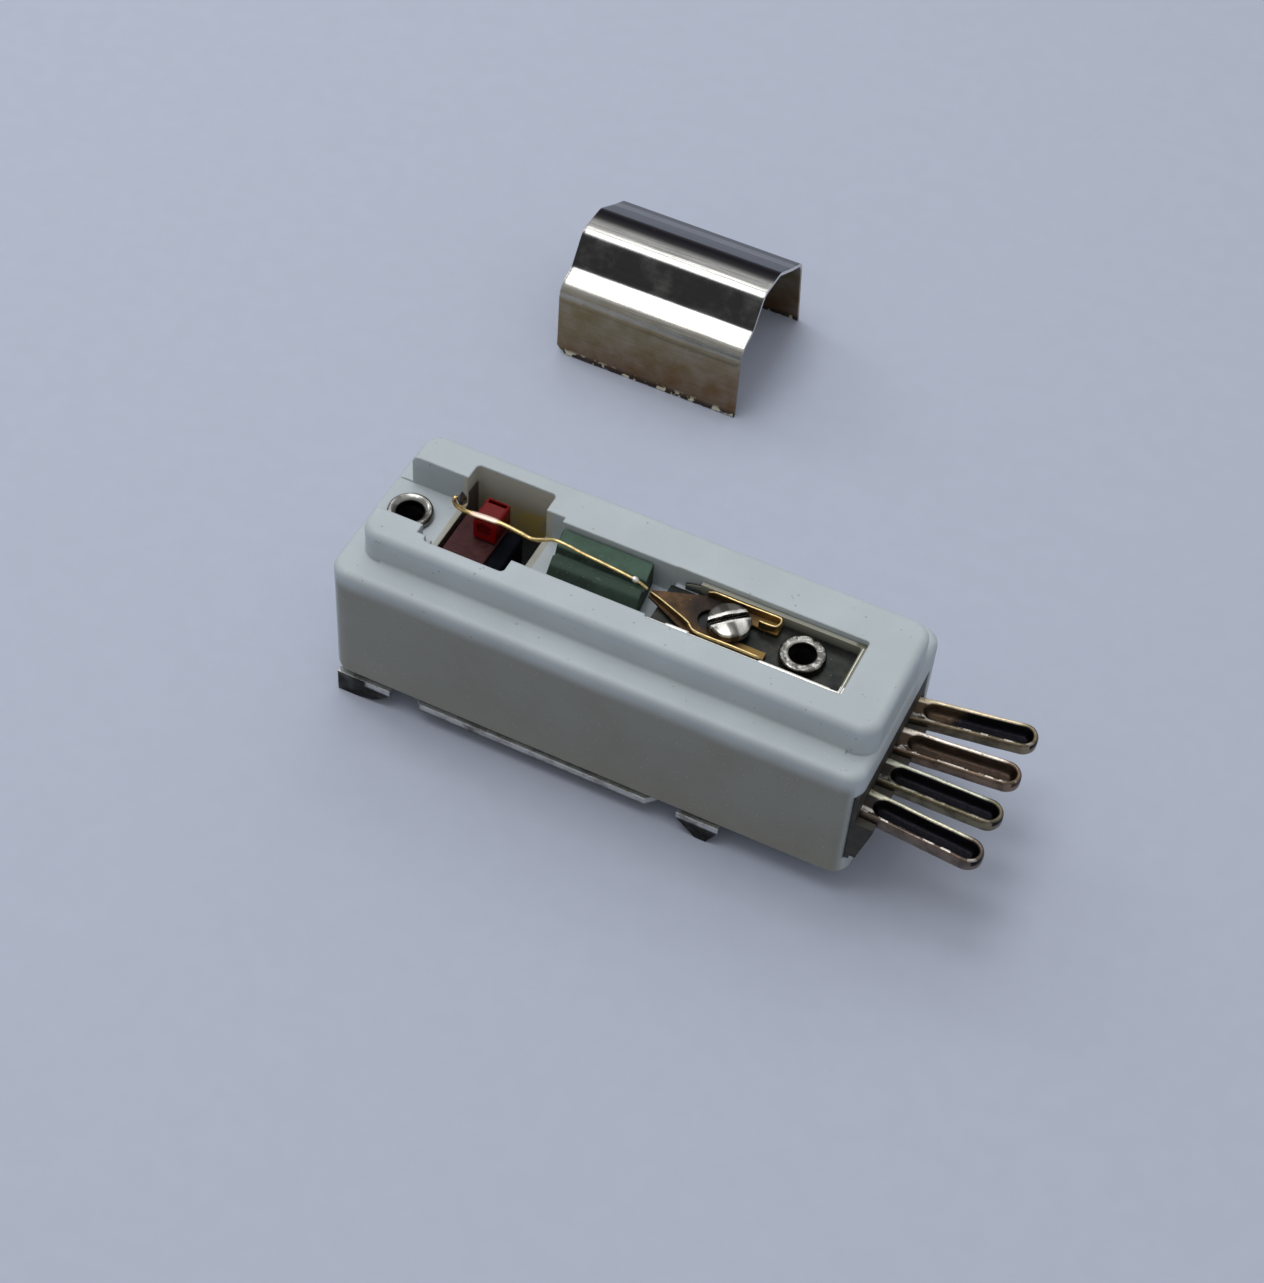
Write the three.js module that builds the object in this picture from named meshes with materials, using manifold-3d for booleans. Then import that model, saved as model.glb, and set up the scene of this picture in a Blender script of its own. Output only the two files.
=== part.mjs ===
// Ceramic phono cartridge, lying stylus side up on its mounting bracket, with its cover clip beside it.
// Millimetres. X runs from the stylus end to the terminal end, Y away from the near side, Z up.
// The finished group stands with its origin in the middle of the bracket plate's underside.
import * as THREE from "three";
import { mergeVertices } from "three/addons/utils/BufferGeometryUtils.js";
import Module from "manifold-3d";

const wasm = await Module();
wasm.setup();

// Fits shared by all pieces.
const seatGap = 0.05;
const looseGap = 0.12;
const overrun = 2;

// Moulded body: a wide lower block with a narrower block standing on it.
const bodyLength = 27.4;
const along = (share) => bodyLength * share;
const lowerWidth = 10.3;
const lowerHeight = 7.42;
const upTo = (share) => lowerHeight * share;
const upperWidth = 7.42;
const upperRise = 1.77;
const upperFrontSetback = 0.9;
const upperRearSetback = 0.12;
const planRadius = 1.0;
const edgeRadius = 0.42;
const upperSink = 1.2;
const footFillet = 0.22;
const footFilletShares = [[-1, -1], [1.5, -1], [1.5, -0.3], [0.35, 0.35], [-0.3, 1.5], [-1, 1.5]];

// Open trough at the stylus end.
const troughFarY = 1.68;
const troughNearY = -2.02;
const troughSink = 0.06;
const pocketLead = 0.45;
const pocketLength = 1.3;
const pocketReach = 0.55;
const pocketDepth = 0.9;

// Deep well round the coupler, and the channel that holds the damping pad.
const wellStart = along(0.1442);
const wellEnd = along(0.2993);
const wellFarY = 2.68;
const wellNearY = -2.92;
const wellRadius = 0.25;
const channelFarY = 1.27;
const channelNearY = -2.05;
const channelStepStart = along(0.3358);
const channelStepInset = 0.3;

// Recess at the terminal end for the metal tray.
const recessStart = along(0.5511);
const recessEnd = along(0.9106);
const recessFarY = 1.3;
const recessNearY = -2.2;
const recessDepth = 1.12;
const recessRadius = 0.15;

// Cavity under the roof, opened from below.
const cavityStart = along(0.1204);
const cavityEnd = along(0.8942);
const cavityRoof = upTo(0.7075);
const sideWall = 0.85;
const bossRadius = 1.5;

// Window for the terminal block in the rear wall.
const windowBottom = upTo(0.1752);
const windowTop = upTo(0.8019);
const windowNearY = -4.85;
const windowFarY = 3.75;

// Bracket: a plate with two side wings and four ears that it stands on.
const plateThickness = 0.4;
const plateWidth = 8.8;
const plateFront = 0.3;
const plateRearSetback = 0.4;
const plateRadius = 0.8;
const wingStart = along(0.1533);
const wingEnd = along(0.6533);
const wingWidth = 10.35;
const wingChamfer = 0.75;
const earThickness = 0.35;
const earDrop = 0.95;
const frontEarStart = 0.35;
const frontEarLength = 2.9;
const frontEarFlat = 0.7;
const rearEarStart = along(0.6861);
const rearEarLength = 2.2;
const rearEarFlat = 0.55;
const rearEarTipShare = 0.62;

// Eyelets that rivet the bracket to the body.
const frontEyeletX = along(0.0675);
const frontEyeletY = -0.29;
const rearEyeletX = along(0.8157);
const rearEyeletY = -0.4;
const eyeletBore = 1.44;
const eyeletTube = 1.86;
const eyeletFlange = 2.3;
const eyeletHeadHeight = 0.42;
const eyeletFootHeight = 0.28;

// Tray strip: folded sheet with upturned rims and a stepped far rim.
const trayThickness = 0.22;
const trayRimHeight = 0.78;
const trayStepStart = 1.4;
const trayStepInset = 0.4;

// Needle shoe: a stamped fork with folded rims.
const stylusLineY = -0.25;
const shoeLineY = -0.42;
const shoeNoseX = along(0.531);
const shoeShoulderX = along(0.6277);
const shoeEndX = along(0.7609);
const shoeThickness = 0.16;
const shoeRimThickness = 0.13;
const shoeRimHeight = 0.42;
const shoeHalfWidth = 1.38;
const shoeNoseHalfWidth = 0.24;
const shoeSlotStart = along(0.6478);
const shoeSlotHalfWidth = 0.62;
const shoeHookShare = 0.457;
const shoeNoseInset = 0.48;
const shoeShoulderInset = 0.08;
const shoeNoseThinning = 0.053;

// Needle screw with a slotted cheese head, and the insert it turns in.
const screwX = along(0.6807);
const screwHead = 2.1;
const screwHeadHeight = 0.62;
const screwShank = 1.0;
const screwEndGap = 0.33;
const screwSlotWidth = 0.34;
const screwSlotDepth = 0.42;
const screwSlotTurn = 0.62;
const insertSize = 2.0;
const insertFloor = 0.92;

// Needle wire, by shares of its reach from the shoe's nose and of its rise above it.
const wireDiameter = 0.3;
const wireTipX = along(0.1504);
const wireRise = 1.28;
const wireRunShares = [
  [0, 0], [0.066, 0.234], [0.202, 0.406], [0.338, 0.531], [0.401, 0.625], [0.473, 0.656],
  [0.527, 0.445], [0.59, 0.234], [0.653, 0.312], [0.745, 0.406], [0.823, 0.391], [0.905, 0.328],
  [0.9535, 0.336], [0.9845, 0.43], [1, 0.664], [0.997, 0.9375],
];
const wireSteps = 66;
const wireSides = 8;
const jewelSetback = 0.52;
const jewelDiameter = 0.4;
const jewelCollar = 0.5;
const jewelHeight = 0.95;
const jewelPointRadius = 0.05;
const jewelPointHeight = 0.03;

// Damping pad: a soft block cut askew, with the furrow that the wire lies in.
const padFrontFarX = along(0.3394);
const padFrontNearX = along(0.3558);
const padRearFarX = along(0.5128);
const padRearNearX = along(0.5255);
const padNearY = -1.75;
const padHeight = 1.6;
const padSlopeWidth = 0.6;
const padSlopeDrop = 0.8;
const padSlopeEase = 0.2;
const furrowWidth = 0.62;

// Coupler in the well: yoke, saddle and boot.
const yokeStart = along(0.1544);
const yokeEnd = along(0.2354);
const yokeNearY = -2.6;
const yokeFarY = 1.3;
const yokeBottom = upTo(0.3167);
const yokeProud = 0.08;
const saddleStart = along(0.1898);
const saddleNearY = -0.3;
const saddleFarY = 1.35;
const saddleRadius = 0.2;
const saddleSlotWidth = 0.24;
const saddleSlotInset = 0.14;
const saddleSlotDepth = 0.6;
const saddleSlotWall = 0.1;
const buttonDiameter = 0.8;
const buttonDepth = 0.12;
const bootEnd = along(0.2682);
const bootFarY = 0.95;

// Ceramic elements, clamped at their rear end.
const elementThickness = 0.55;
const elementHeight = upTo(0.2291);
const elementBottom = upTo(0.3706);
const elementSpread = 2.6;
const elementEnd = along(0.7281);
const clampStart = along(0.6642);
const clampEnd = along(0.7372);
const clampBottom = upTo(0.2695);
const clampWidth = 6.2;

// Terminal block, pins and leads.
const blockFront = along(0.9088);
const lipReach = 0.85;
const lipTop = upTo(0.55);
const lipFoot = 0.25;
const lipFootReach = 0.26;
const lipFarY = 3.35;
const pinCount = 4;
const pinSetback = 0.4;
const pinRootReach = 0.1;
const pinRootPitch = 2.07;
const pinRootLineY = -0.44;
const pinReach = 5.9;
const pinTipPitch = 2.54;
const pinTipLineY = -0.17;
const pinWidth = 1.5;
const pinHeight = 0.75;
const pinBottom = upTo(0.496);
const pinWall = 0.26;
const pinFloor = 0.24;
const pinTroughStart = 2.45;
const pinTroughEase = 0.01;
const leadDiameter = 0.26;
const leadEntry = 0.5;
const leadClearX = along(0.8723);
const leadClearY = 2.15;
const leadSteps = 14;
const leadSides = 6;

// Cover clip: bent spring sheet, standing on its two flanges.
// Its section is given by shares of width and height.
const clipLength = 10.9;
const clipFrontX = -1.05;
const clipNearY = 21.6;
const clipWidth = 9.1;
const clipHeight = 6.9;
const clipThickness = 0.2;
const clipSectionShares = [
  [0.009, -0.1], [0.015, 0.68], [0.17, 0.74], [0.31, 0.985],
  [0.54, 0.965], [0.74, 0.81], [0.91, 0.69], [1, -0.1],
];
const clipBendRadius = 0.5;
const clipCornerChamfer = 0.5;

// Derived levels and lines.
const topLevel = lowerHeight + upperRise;
const troughFloor = lowerHeight - troughSink;
const recessFloor = topLevel - recessDepth;
const trayFloorTop = recessFloor + seatGap + trayThickness;
const shoeFloorTop = trayFloorTop + seatGap + shoeThickness;
const plateTop = -seatGap;
const plateUnderside = plateTop - plateThickness;
const standLevel = plateUnderside - earDrop;
const pocketStart = wellStart - pocketLead;
const plateRear = bodyLength - plateRearSetback;
const yokeTop = lowerHeight + yokeProud;
const padTop = troughFloor + padHeight;
const insertHeight = recessFloor - cavityRoof - insertFloor;
const pinStart = blockFront + pinSetback;
const pinRootX = bodyLength + pinRootReach;
const pinEnd = bodyLength + pinReach;
const wireNoseX = shoeNoseX - looseGap;
const wireReach = wireNoseX - wireTipX;
const wireNoseLevel = shoeFloorTop + wireDiameter / 2;
const wireRun = wireRunShares.map(([back, up]) => [
  wireNoseX - wireReach * back, wireNoseLevel + wireRise * up]);
const furrowBottom = wireNoseLevel - wireDiameter / 2 - looseGap;
const saddleTop = heightOfWire(saddleStart) - wireDiameter / 2 - looseGap;
const elementAxisY = (yokeNearY + yokeFarY) / 2;

// How finely curves are divided.
const postSides = 20;
const screwSides = 28;
const jewelSides = 12;
const cornerSteps = 6;
const bevelSteps = 4;
const profileSteps = 8;
const domeSteps = 5;
const bendSteps = 7;
const pinSteps = 12;
const weldReach = 1e-5;

// Height of the wire's middle line at a place along X, between its listed places.
function heightOfWire(x) {
  for (let i = 1; i < wireRun.length; i += 1) {
    const [xa, za] = wireRun[i - 1];
    const [xb, zb] = wireRun[i];
    if (x <= xa && x >= xb) return za + ((zb - za) * (xa - x)) / (xa - xb);
  }
  return wireNoseLevel;
}

// Turns a closed geometry into a solid for cutting and joining.
function solid(geometry) {
  const bare = new THREE.BufferGeometry();
  const source = geometry.index ? geometry.toNonIndexed() : geometry;
  bare.setAttribute("position", source.getAttribute("position"));
  const merged = mergeVertices(bare, weldReach);
  const vertProperties = new Float32Array(merged.getAttribute("position").array);
  const corners = [];
  const index = merged.index.array;
  for (let i = 0; i < index.length; i += 3) {
    const [a, b, c] = [index[i], index[i + 1], index[i + 2]];
    if (a !== b && b !== c && c !== a) corners.push(a, b, c);
  }
  return new wasm.Manifold(new wasm.Mesh({ numProp: 3, vertProperties, triVerts: new Uint32Array(corners) }));
}

// Reads a solid back as a geometry with flat facets.
function geometryOf(body) {
  const result = body.getMesh();
  const geometry = new THREE.BufferGeometry();
  geometry.setAttribute("position", new THREE.BufferAttribute(new Float32Array(result.vertProperties), 3));
  geometry.setIndex(new THREE.BufferAttribute(new Uint32Array(result.triVerts), 1));
  geometry.computeVertexNormals();
  return geometry;
}

function cut(body, ...tools) {
  return tools.reduce((rest, tool) => rest.subtract(tool), body);
}

function join(body, ...others) {
  return others.reduce((whole, other) => whole.add(other), body);
}

// A box between two corners.
function block(x0, x1, y0, y1, z0, z1) {
  const geometry = new THREE.BoxGeometry(x1 - x0, y1 - y0, z1 - z0);
  geometry.translate((x0 + x1) / 2, (y0 + y1) / 2, (z0 + z1) / 2);
  return solid(geometry);
}

// A plan outline with round corners.
function roundedPlan(x0, x1, y0, y1, radius) {
  const shape = new THREE.Shape();
  shape.moveTo(x0 + radius, y0);
  shape.lineTo(x1 - radius, y0);
  shape.absarc(x1 - radius, y0 + radius, radius, -Math.PI / 2, 0);
  shape.lineTo(x1, y1 - radius);
  shape.absarc(x1 - radius, y1 - radius, radius, 0, Math.PI / 2);
  shape.lineTo(x0 + radius, y1);
  shape.absarc(x0 + radius, y1 - radius, radius, Math.PI / 2, Math.PI);
  shape.lineTo(x0, y0 + radius);
  shape.absarc(x0 + radius, y0 + radius, radius, Math.PI, Math.PI * 1.5);
  return shape;
}

function polygon(points) {
  return new THREE.Shape(points.map(([x, y]) => new THREE.Vector2(x, y)));
}

// A plan outline raised from z0 to z1.
function prism(shape, z0, z1, curveSegments = cornerSteps) {
  const settings = { depth: z1 - z0, bevelEnabled: false, curveSegments };
  const geometry = new THREE.ExtrudeGeometry(shape, settings);
  geometry.translate(0, 0, z0);
  return solid(geometry);
}

// A plan outline raised from z0 to z1 with both edges rounded over.
function softPrism(shape, z0, z1, radius) {
  const geometry = new THREE.ExtrudeGeometry(shape, {
    depth: z1 - z0 - radius * 2,
    bevelEnabled: true,
    bevelSize: radius,
    bevelThickness: radius,
    bevelOffset: -radius,
    bevelSegments: bevelSteps,
    curveSegments: cornerSteps,
  });
  geometry.translate(0, 0, z0 + radius);
  return solid(geometry);
}

// A side outline, drawn as X and Z, carried from y0 to y1.
function sidePrism(points, y0, y1) {
  const shape = Array.isArray(points) ? polygon(points) : points;
  const settings = { depth: y1 - y0, bevelEnabled: false, curveSegments: profileSteps };
  const geometry = new THREE.ExtrudeGeometry(shape, settings);
  geometry.rotateX(Math.PI / 2);
  geometry.translate(0, y1, 0);
  return solid(geometry);
}

// An end outline, drawn as Y and Z, carried from x0 to x1.
function endPrism(shape, x0, x1) {
  const settings = { depth: x1 - x0, bevelEnabled: false, curveSegments: profileSteps };
  const geometry = new THREE.ExtrudeGeometry(shape, settings);
  const turn = new THREE.Matrix4().makeBasis(
    new THREE.Vector3(0, 1, 0),
    new THREE.Vector3(0, 0, 1),
    new THREE.Vector3(1, 0, 0),
  );
  geometry.applyMatrix4(turn);
  geometry.translate(x0, 0, 0);
  return solid(geometry);
}

// An upright round bar.
function post(x, y, z0, z1, diameter, sides = postSides) {
  const geometry = new THREE.CylinderGeometry(diameter / 2, diameter / 2, z1 - z0, sides);
  geometry.rotateX(Math.PI / 2);
  geometry.translate(x, y, (z0 + z1) / 2);
  return solid(geometry);
}

// A round tube carried along a smooth curve through its points.
function wire(points, diameter, sides, steps) {
  const path = new THREE.CatmullRomCurve3(points.map((p) => new THREE.Vector3(...p)), false, "centripetal");
  const section = new THREE.Shape();
  for (let i = 0; i < sides; i += 1) {
    const angle = ((i + 1 / 2) / sides) * Math.PI * 2;
    const place = [(Math.cos(angle) * diameter) / 2, (Math.sin(angle) * diameter) / 2];
    if (i === 0) section.moveTo(...place);
    else section.lineTo(...place);
  }
  return new THREE.ExtrudeGeometry(section, { steps, extrudePath: path, bevelEnabled: false });
}

// Replaces each inner corner of an open line with an arc of the given radius.
// Steps are counted for a right angle.
function roundCorners(points, radius, steps) {
  const line = points.map(([x, y]) => new THREE.Vector2(x, y));
  const result = [line[0]];
  for (let i = 1; i < line.length - 1; i += 1) {
    const before = line[i - 1].clone().sub(line[i]).normalize();
    const after = line[i + 1].clone().sub(line[i]).normalize();
    const half = Math.acos(before.dot(after)) / 2;
    const centre = before.clone().add(after).normalize().multiplyScalar(radius / Math.sin(half)).add(line[i]);
    const start = line[i].clone().addScaledVector(before, radius / Math.tan(half)).sub(centre);
    const sweep = Math.PI - half * 2;
    const sign = Math.sign(before.cross(after));
    const count = Math.round((steps * sweep) / (Math.PI / 2));
    if (count === 0) result.push(line[i]);
    for (let k = 0; k <= count && count > 0; k += 1) {
      const turned = start.clone().rotateAround(new THREE.Vector2(0, 0), (-sign * sweep * k) / count);
      result.push(turned.add(centre));
    }
  }
  result.push(line[line.length - 1]);
  return result;
}

// Thickens an open line to both sides into the outline of a bent sheet.
function sheetOutline(line, thickness) {
  const left = [];
  const right = [];
  line.forEach((point, i) => {
    const before = line[Math.max(i - 1, 0)];
    const after = line[Math.min(i + 1, line.length - 1)];
    const ahead = after.clone().sub(before).normalize();
    const across = new THREE.Vector2(-ahead.y, ahead.x).multiplyScalar(thickness / 2);
    left.push(point.clone().add(across));
    right.push(point.clone().sub(across));
  });
  return new THREE.Shape([...left, ...right.reverse()]);
}

const eyeletPlaces = [[frontEyeletX, frontEyeletY], [rearEyeletX, rearEyeletY]];

function bodyShell() {
  const half = lowerWidth / 2;
  const lower = softPrism(roundedPlan(0, bodyLength, -half, half, planRadius), 0, lowerHeight, edgeRadius);
  const upperPlan = roundedPlan(
    upperFrontSetback, bodyLength - upperRearSetback, -upperWidth / 2, upperWidth / 2, planRadius);
  const upper = softPrism(upperPlan, lowerHeight - upperSink, topLevel, edgeRadius);
  const fillets = [-1, 1].map((side) => {
    const wall = (side * upperWidth) / 2;
    const leg = side * footFillet;
    const outline = polygon(footFilletShares.map(([out, up]) => [
      wall + leg * out, lowerHeight + footFillet * up]));
    const margin = planRadius + footFillet;
    return endPrism(outline, upperFrontSetback + margin, bodyLength - upperRearSetback - margin);
  });
  const above = topLevel + overrun;
  const trough = block(-overrun, wellStart + wellRadius, troughNearY, troughFarY, troughFloor, above);
  const pocket = block(
    pocketStart, pocketStart + pocketLength, troughNearY - pocketReach, 0, topLevel - pocketDepth, above);
  const well = prism(
    roundedPlan(wellStart, wellEnd, wellNearY, wellFarY, wellRadius), cavityRoof - overrun, above);
  const channel = block(
    wellEnd - wellRadius, recessStart + recessRadius, channelNearY, channelFarY, troughFloor, above);
  const channelStep = block(
    wellEnd - wellRadius, channelStepStart, channelNearY, channelFarY + channelStepInset, troughFloor, above);
  const recess = prism(
    roundedPlan(recessStart, recessEnd, recessNearY, recessFarY, recessRadius), recessFloor, above);
  const inner = half - sideWall;
  const cavity = prism(roundedPlan(cavityStart, cavityEnd, -inner, inner, planRadius), -overrun, cavityRoof);
  const window = block(
    cavityEnd - planRadius, bodyLength + overrun, windowNearY, windowFarY, windowBottom, windowTop);
  const stock = join(lower, upper, ...fillets);
  const shell = cut(stock, trough, pocket, well, channel, channelStep, recess, cavity, window);
  const boss = post(rearEyeletX, rearEyeletY, 0, recessFloor, bossRadius * 2);
  const bores = eyeletPlaces.map(([x, y]) => post(x, y, -overrun, above, eyeletTube + seatGap * 2));
  const insertHole = prism(
    hexagon(screwX, shoeLineY, insertSize / 2 + seatGap), recessFloor - insertHeight - seatGap, above);
  return cut(join(shell, boss), ...bores, insertHole);
}

// A six-sided outline round a centre, by its distance to a flat.
function hexagon(x, y, apothem) {
  const reach = apothem / Math.cos(Math.PI / 6);
  const points = [];
  for (let i = 0; i < 6; i += 1) {
    const angle = (i / 6) * Math.PI * 2;
    points.push([x + reach * Math.cos(angle), y + reach * Math.sin(angle)]);
  }
  return polygon(points);
}

// An ear hangs from the plate: a half moon at the front, a blunt point at the rear.
function frontEarOutline() {
  const end = frontEarStart + frontEarLength;
  const shape = new THREE.Shape();
  shape.moveTo(frontEarStart, plateTop);
  shape.lineTo(frontEarStart, standLevel);
  shape.lineTo(frontEarStart + frontEarFlat, standLevel);
  shape.quadraticCurveTo(end - frontEarFlat, standLevel, end, plateUnderside);
  shape.lineTo(end, plateTop);
  return shape;
}

function rearEarOutline() {
  const end = rearEarStart + rearEarLength;
  const tip = rearEarStart + rearEarLength * rearEarTipShare;
  return polygon([
    [rearEarStart, plateTop],
    [rearEarStart, plateUnderside],
    [tip - rearEarFlat / 2, standLevel],
    [tip + rearEarFlat / 2, standLevel],
    [end, plateUnderside],
    [end, plateTop],
  ]);
}

function mountingBracket() {
  const half = plateWidth / 2;
  const wing = wingWidth / 2;
  const plate = prism(roundedPlan(plateFront, plateRear, -half, half, plateRadius), plateUnderside, plateTop);
  const [lead, root] = [wingChamfer / 2, half - (wing - half) / 2];
  const wings = prism(polygon([
    [wingStart + wingChamfer, -wing], [wingEnd - wingChamfer, -wing],
    [wingEnd + lead, -root], [wingEnd + lead, root],
    [wingEnd - wingChamfer, wing], [wingStart + wingChamfer, wing],
    [wingStart - lead, root], [wingStart - lead, -root],
  ]), plateUnderside, plateTop);
  const ears = [-1, 1].flatMap((side) => {
    const [y0, y1] = span(side, wing - earThickness, wing);
    const ledge = span(side, root, wing - seatGap);
    return [
      sidePrism(frontEarOutline(), y0, y1),
      sidePrism(rearEarOutline(), y0, y1),
      earLedge(frontEarStart, frontEarLength, ledge),
      earLedge(rearEarStart, rearEarLength, ledge),
    ];
  });
  const holes = eyeletPlaces.map(([x, y]) => post(
    x, y, plateUnderside - overrun, plateTop + overrun, eyeletTube + seatGap * 2));
  return cut(join(plate, wings, ...ears), ...holes);
}

// The piece of plate that an ear hangs from.
function earLedge(start, length, across) {
  return block(start + seatGap, start + length - seatGap, ...across, plateUnderside, plateTop);
}

// The two ends of a stretch across the part, in rising order on either side of the middle line.
function span(side, inner, outer) {
  return side < 0 ? [-outer, -inner] : [inner, outer];
}

// A hollow rivet: a tube with a domed head above and a rolled foot under the plate.
function eyelet([x, y], seatLevel) {
  const bore = eyeletBore / 2;
  const tube = eyeletTube / 2;
  const flange = eyeletFlange / 2;
  const head = seatLevel + seatGap;
  const foot = plateUnderside - seatGap;
  const dome = [];
  for (let i = 0; i <= domeSteps; i += 1) {
    const angle = (i / domeSteps) * Math.PI;
    const middle = (flange + bore) / 2;
    dome.push([middle + ((flange - bore) / 2) * Math.cos(angle), head + eyeletHeadHeight * Math.sin(angle)]);
  }
  const outline = [
    [tube, head],
    ...dome,
    [bore, foot - eyeletFootHeight],
    [flange - eyeletFootHeight / 2, foot - eyeletFootHeight],
    [flange, foot - eyeletFootHeight / 2],
    [flange, foot],
    [tube, foot],
    [tube, head],
  ].map(([r, z]) => new THREE.Vector2(r, z));
  const geometry = new THREE.LatheGeometry(outline, postSides);
  geometry.rotateX(Math.PI / 2);
  geometry.translate(x, y, 0);
  return geometry;
}

function stylusTray() {
  const base = recessFloor + seatGap;
  const [x0, x1] = [recessStart + seatGap, recessEnd - seatGap];
  const [y0, y1] = [recessNearY + seatGap, recessFarY - seatGap];
  const rimTop = base + trayRimHeight;
  const blank = prism(roundedPlan(x0, x1, y0, y1, recessRadius), base, rimTop);
  const insidePlan = roundedPlan(
    x0 - overrun, x1 - trayThickness, y0 + trayThickness, y1 - trayThickness, recessRadius);
  const inside = prism(insidePlan, trayFloorTop, rimTop + overrun);
  const step = block(
    x0 - overrun, x0 + trayStepStart, y1 - trayStepInset, y1 + overrun, base - overrun, rimTop + overrun);
  const eyeletHole = post(
    rearEyeletX, rearEyeletY, base - overrun, rimTop + overrun, eyeletTube + seatGap * 2);
  const screwHole = post(screwX, shoeLineY, base - overrun, rimTop + overrun, screwShank + looseGap * 2);
  return cut(blank, inside, step, eyeletHole, screwHole);
}

// Plan of the shoe from its nose, over its shoulder, to its end.
function shoePlan(noseX, nose, shoulderX, side, end) {
  return polygon([
    [noseX, stylusLineY - nose],
    [shoulderX, shoeLineY - side],
    [end, shoeLineY - side],
    [end, shoeLineY + side],
    [shoulderX, shoeLineY + side],
    [noseX, stylusLineY + nose],
  ]);
}

function needleShoe() {
  const base = trayFloorTop + seatGap;
  const rimTop = base + shoeThickness + shoeRimHeight;
  const outer = shoePlan(shoeNoseX, shoeNoseHalfWidth, shoeShoulderX, shoeHalfWidth, shoeEndX);
  const inner = shoePlan(
    shoeNoseX + shoeNoseInset, shoeNoseHalfWidth - shoeNoseThinning,
    shoeShoulderX + shoeShoulderInset, shoeHalfWidth - shoeRimThickness, shoeEndX + overrun);
  const stock = prism(outer, base, rimTop);
  const inside = prism(inner, shoeFloorTop, rimTop + overrun);
  const slotRound = post(shoeSlotStart, shoeLineY, base - overrun, rimTop + overrun, shoeSlotHalfWidth * 2);
  const slot = block(
    shoeSlotStart, shoeEndX + overrun,
    shoeLineY - shoeSlotHalfWidth, shoeLineY + shoeSlotHalfWidth, base - overrun, rimTop + overrun);
  const farInner = shoeLineY + shoeSlotHalfWidth;
  const hookRim = block(
    shoeEndX - (shoeEndX - screwX) * shoeHookShare, shoeEndX,
    farInner, farInner + shoeRimThickness, base, rimTop);
  const hookEnd = block(
    shoeEndX - shoeRimThickness, shoeEndX,
    farInner, shoeLineY + shoeHalfWidth - shoeRimThickness / 2, base, rimTop);
  return join(cut(stock, inside, slotRound, slot), hookRim, hookEnd);
}

function needleScrew() {
  const seat = shoeFloorTop + seatGap;
  const top = seat + screwHeadHeight;
  const head = post(screwX, shoeLineY, seat, top, screwHead, screwSides);
  const shank = post(screwX, shoeLineY, recessFloor - insertHeight + screwEndGap, seat + seatGap, screwShank);
  const slot = new THREE.BoxGeometry(screwHead + overrun, screwSlotWidth, screwSlotDepth + overrun);
  slot.rotateZ(screwSlotTurn);
  slot.translate(screwX, shoeLineY, top - screwSlotDepth + (screwSlotDepth + overrun) / 2);
  return cut(join(head, shank), solid(slot));
}

function screwInsert() {
  const top = recessFloor;
  const stock = prism(hexagon(screwX, shoeLineY, insertSize / 2), top - insertHeight, top);
  const bore = post(screwX, shoeLineY, top - insertHeight - overrun, top + overrun, screwShank + looseGap);
  return cut(stock, bore);
}

function needleWire() {
  return wire(wireRun.map(([x, z]) => [x, stylusLineY, z]), wireDiameter, wireSides, wireSteps);
}

function jewelTip() {
  const x = wireTipX + jewelSetback;
  const seat = heightOfWire(x) + wireDiameter / 2 + looseGap;
  const radius = jewelDiameter / 2;
  const outline = [
    [0, seat],
    [radius, seat],
    [radius, seat + jewelCollar],
    [jewelPointRadius, seat + jewelHeight - jewelPointHeight],
    [0, seat + jewelHeight],
  ].map(([r, z]) => new THREE.Vector2(r, z));
  const geometry = new THREE.LatheGeometry(outline, jewelSides);
  geometry.rotateX(Math.PI / 2);
  geometry.translate(x, stylusLineY, 0);
  return geometry;
}

function dampingPad() {
  const farY = channelFarY - seatGap;
  const stock = prism(polygon([
    [padFrontNearX, padNearY], [padRearNearX, padNearY], [padRearFarX, farY], [padFrontFarX, farY],
  ]), troughFloor + seatGap, padTop);
  const furrow = block(
    padFrontFarX - overrun, padRearNearX + overrun,
    stylusLineY - furrowWidth / 2, stylusLineY + furrowWidth / 2, furrowBottom, padTop + overrun);
  const rise = padSlopeDrop / padSlopeWidth;
  const slope = polygon([
    [padNearY - padSlopeEase, padTop - padSlopeDrop - padSlopeEase * rise],
    [padNearY + padSlopeWidth + padSlopeEase, padTop + padSlopeEase * rise],
    [padNearY - padSlopeEase, padTop + padSlopeEase * rise],
  ]);
  const slant = endPrism(slope, padFrontFarX - overrun, padRearNearX + overrun);
  return cut(stock, furrow, slant);
}

function couplerYoke() {
  return block(yokeStart, yokeEnd, yokeNearY, yokeFarY, yokeBottom, yokeTop);
}

function couplerSaddle() {
  const stock = prism(
    roundedPlan(saddleStart, yokeEnd, saddleNearY, saddleFarY, saddleRadius), yokeTop + seatGap, saddleTop);
  const slot = block(
    saddleStart + saddleSlotInset, yokeEnd - saddleSlotInset,
    saddleFarY - saddleSlotWall - saddleSlotWidth, saddleFarY - saddleSlotWall,
    saddleTop - saddleSlotDepth, saddleTop + overrun);
  const radius = buttonDiameter / 2;
  const button = new THREE.CylinderGeometry(radius, radius, buttonDepth * 2, postSides);
  button.translate((saddleStart + yokeEnd) / 2, saddleNearY, saddleTop - radius - looseGap);
  return cut(stock, slot, solid(button));
}

function rubberBoot() {
  return block(yokeEnd + seatGap, bootEnd, yokeNearY, bootFarY, yokeBottom, yokeTop);
}

const elementSides = [["near", -1], ["far", 1]];

function elementPlaceY(side) {
  return elementAxisY + (side * elementSpread) / 2;
}

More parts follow.
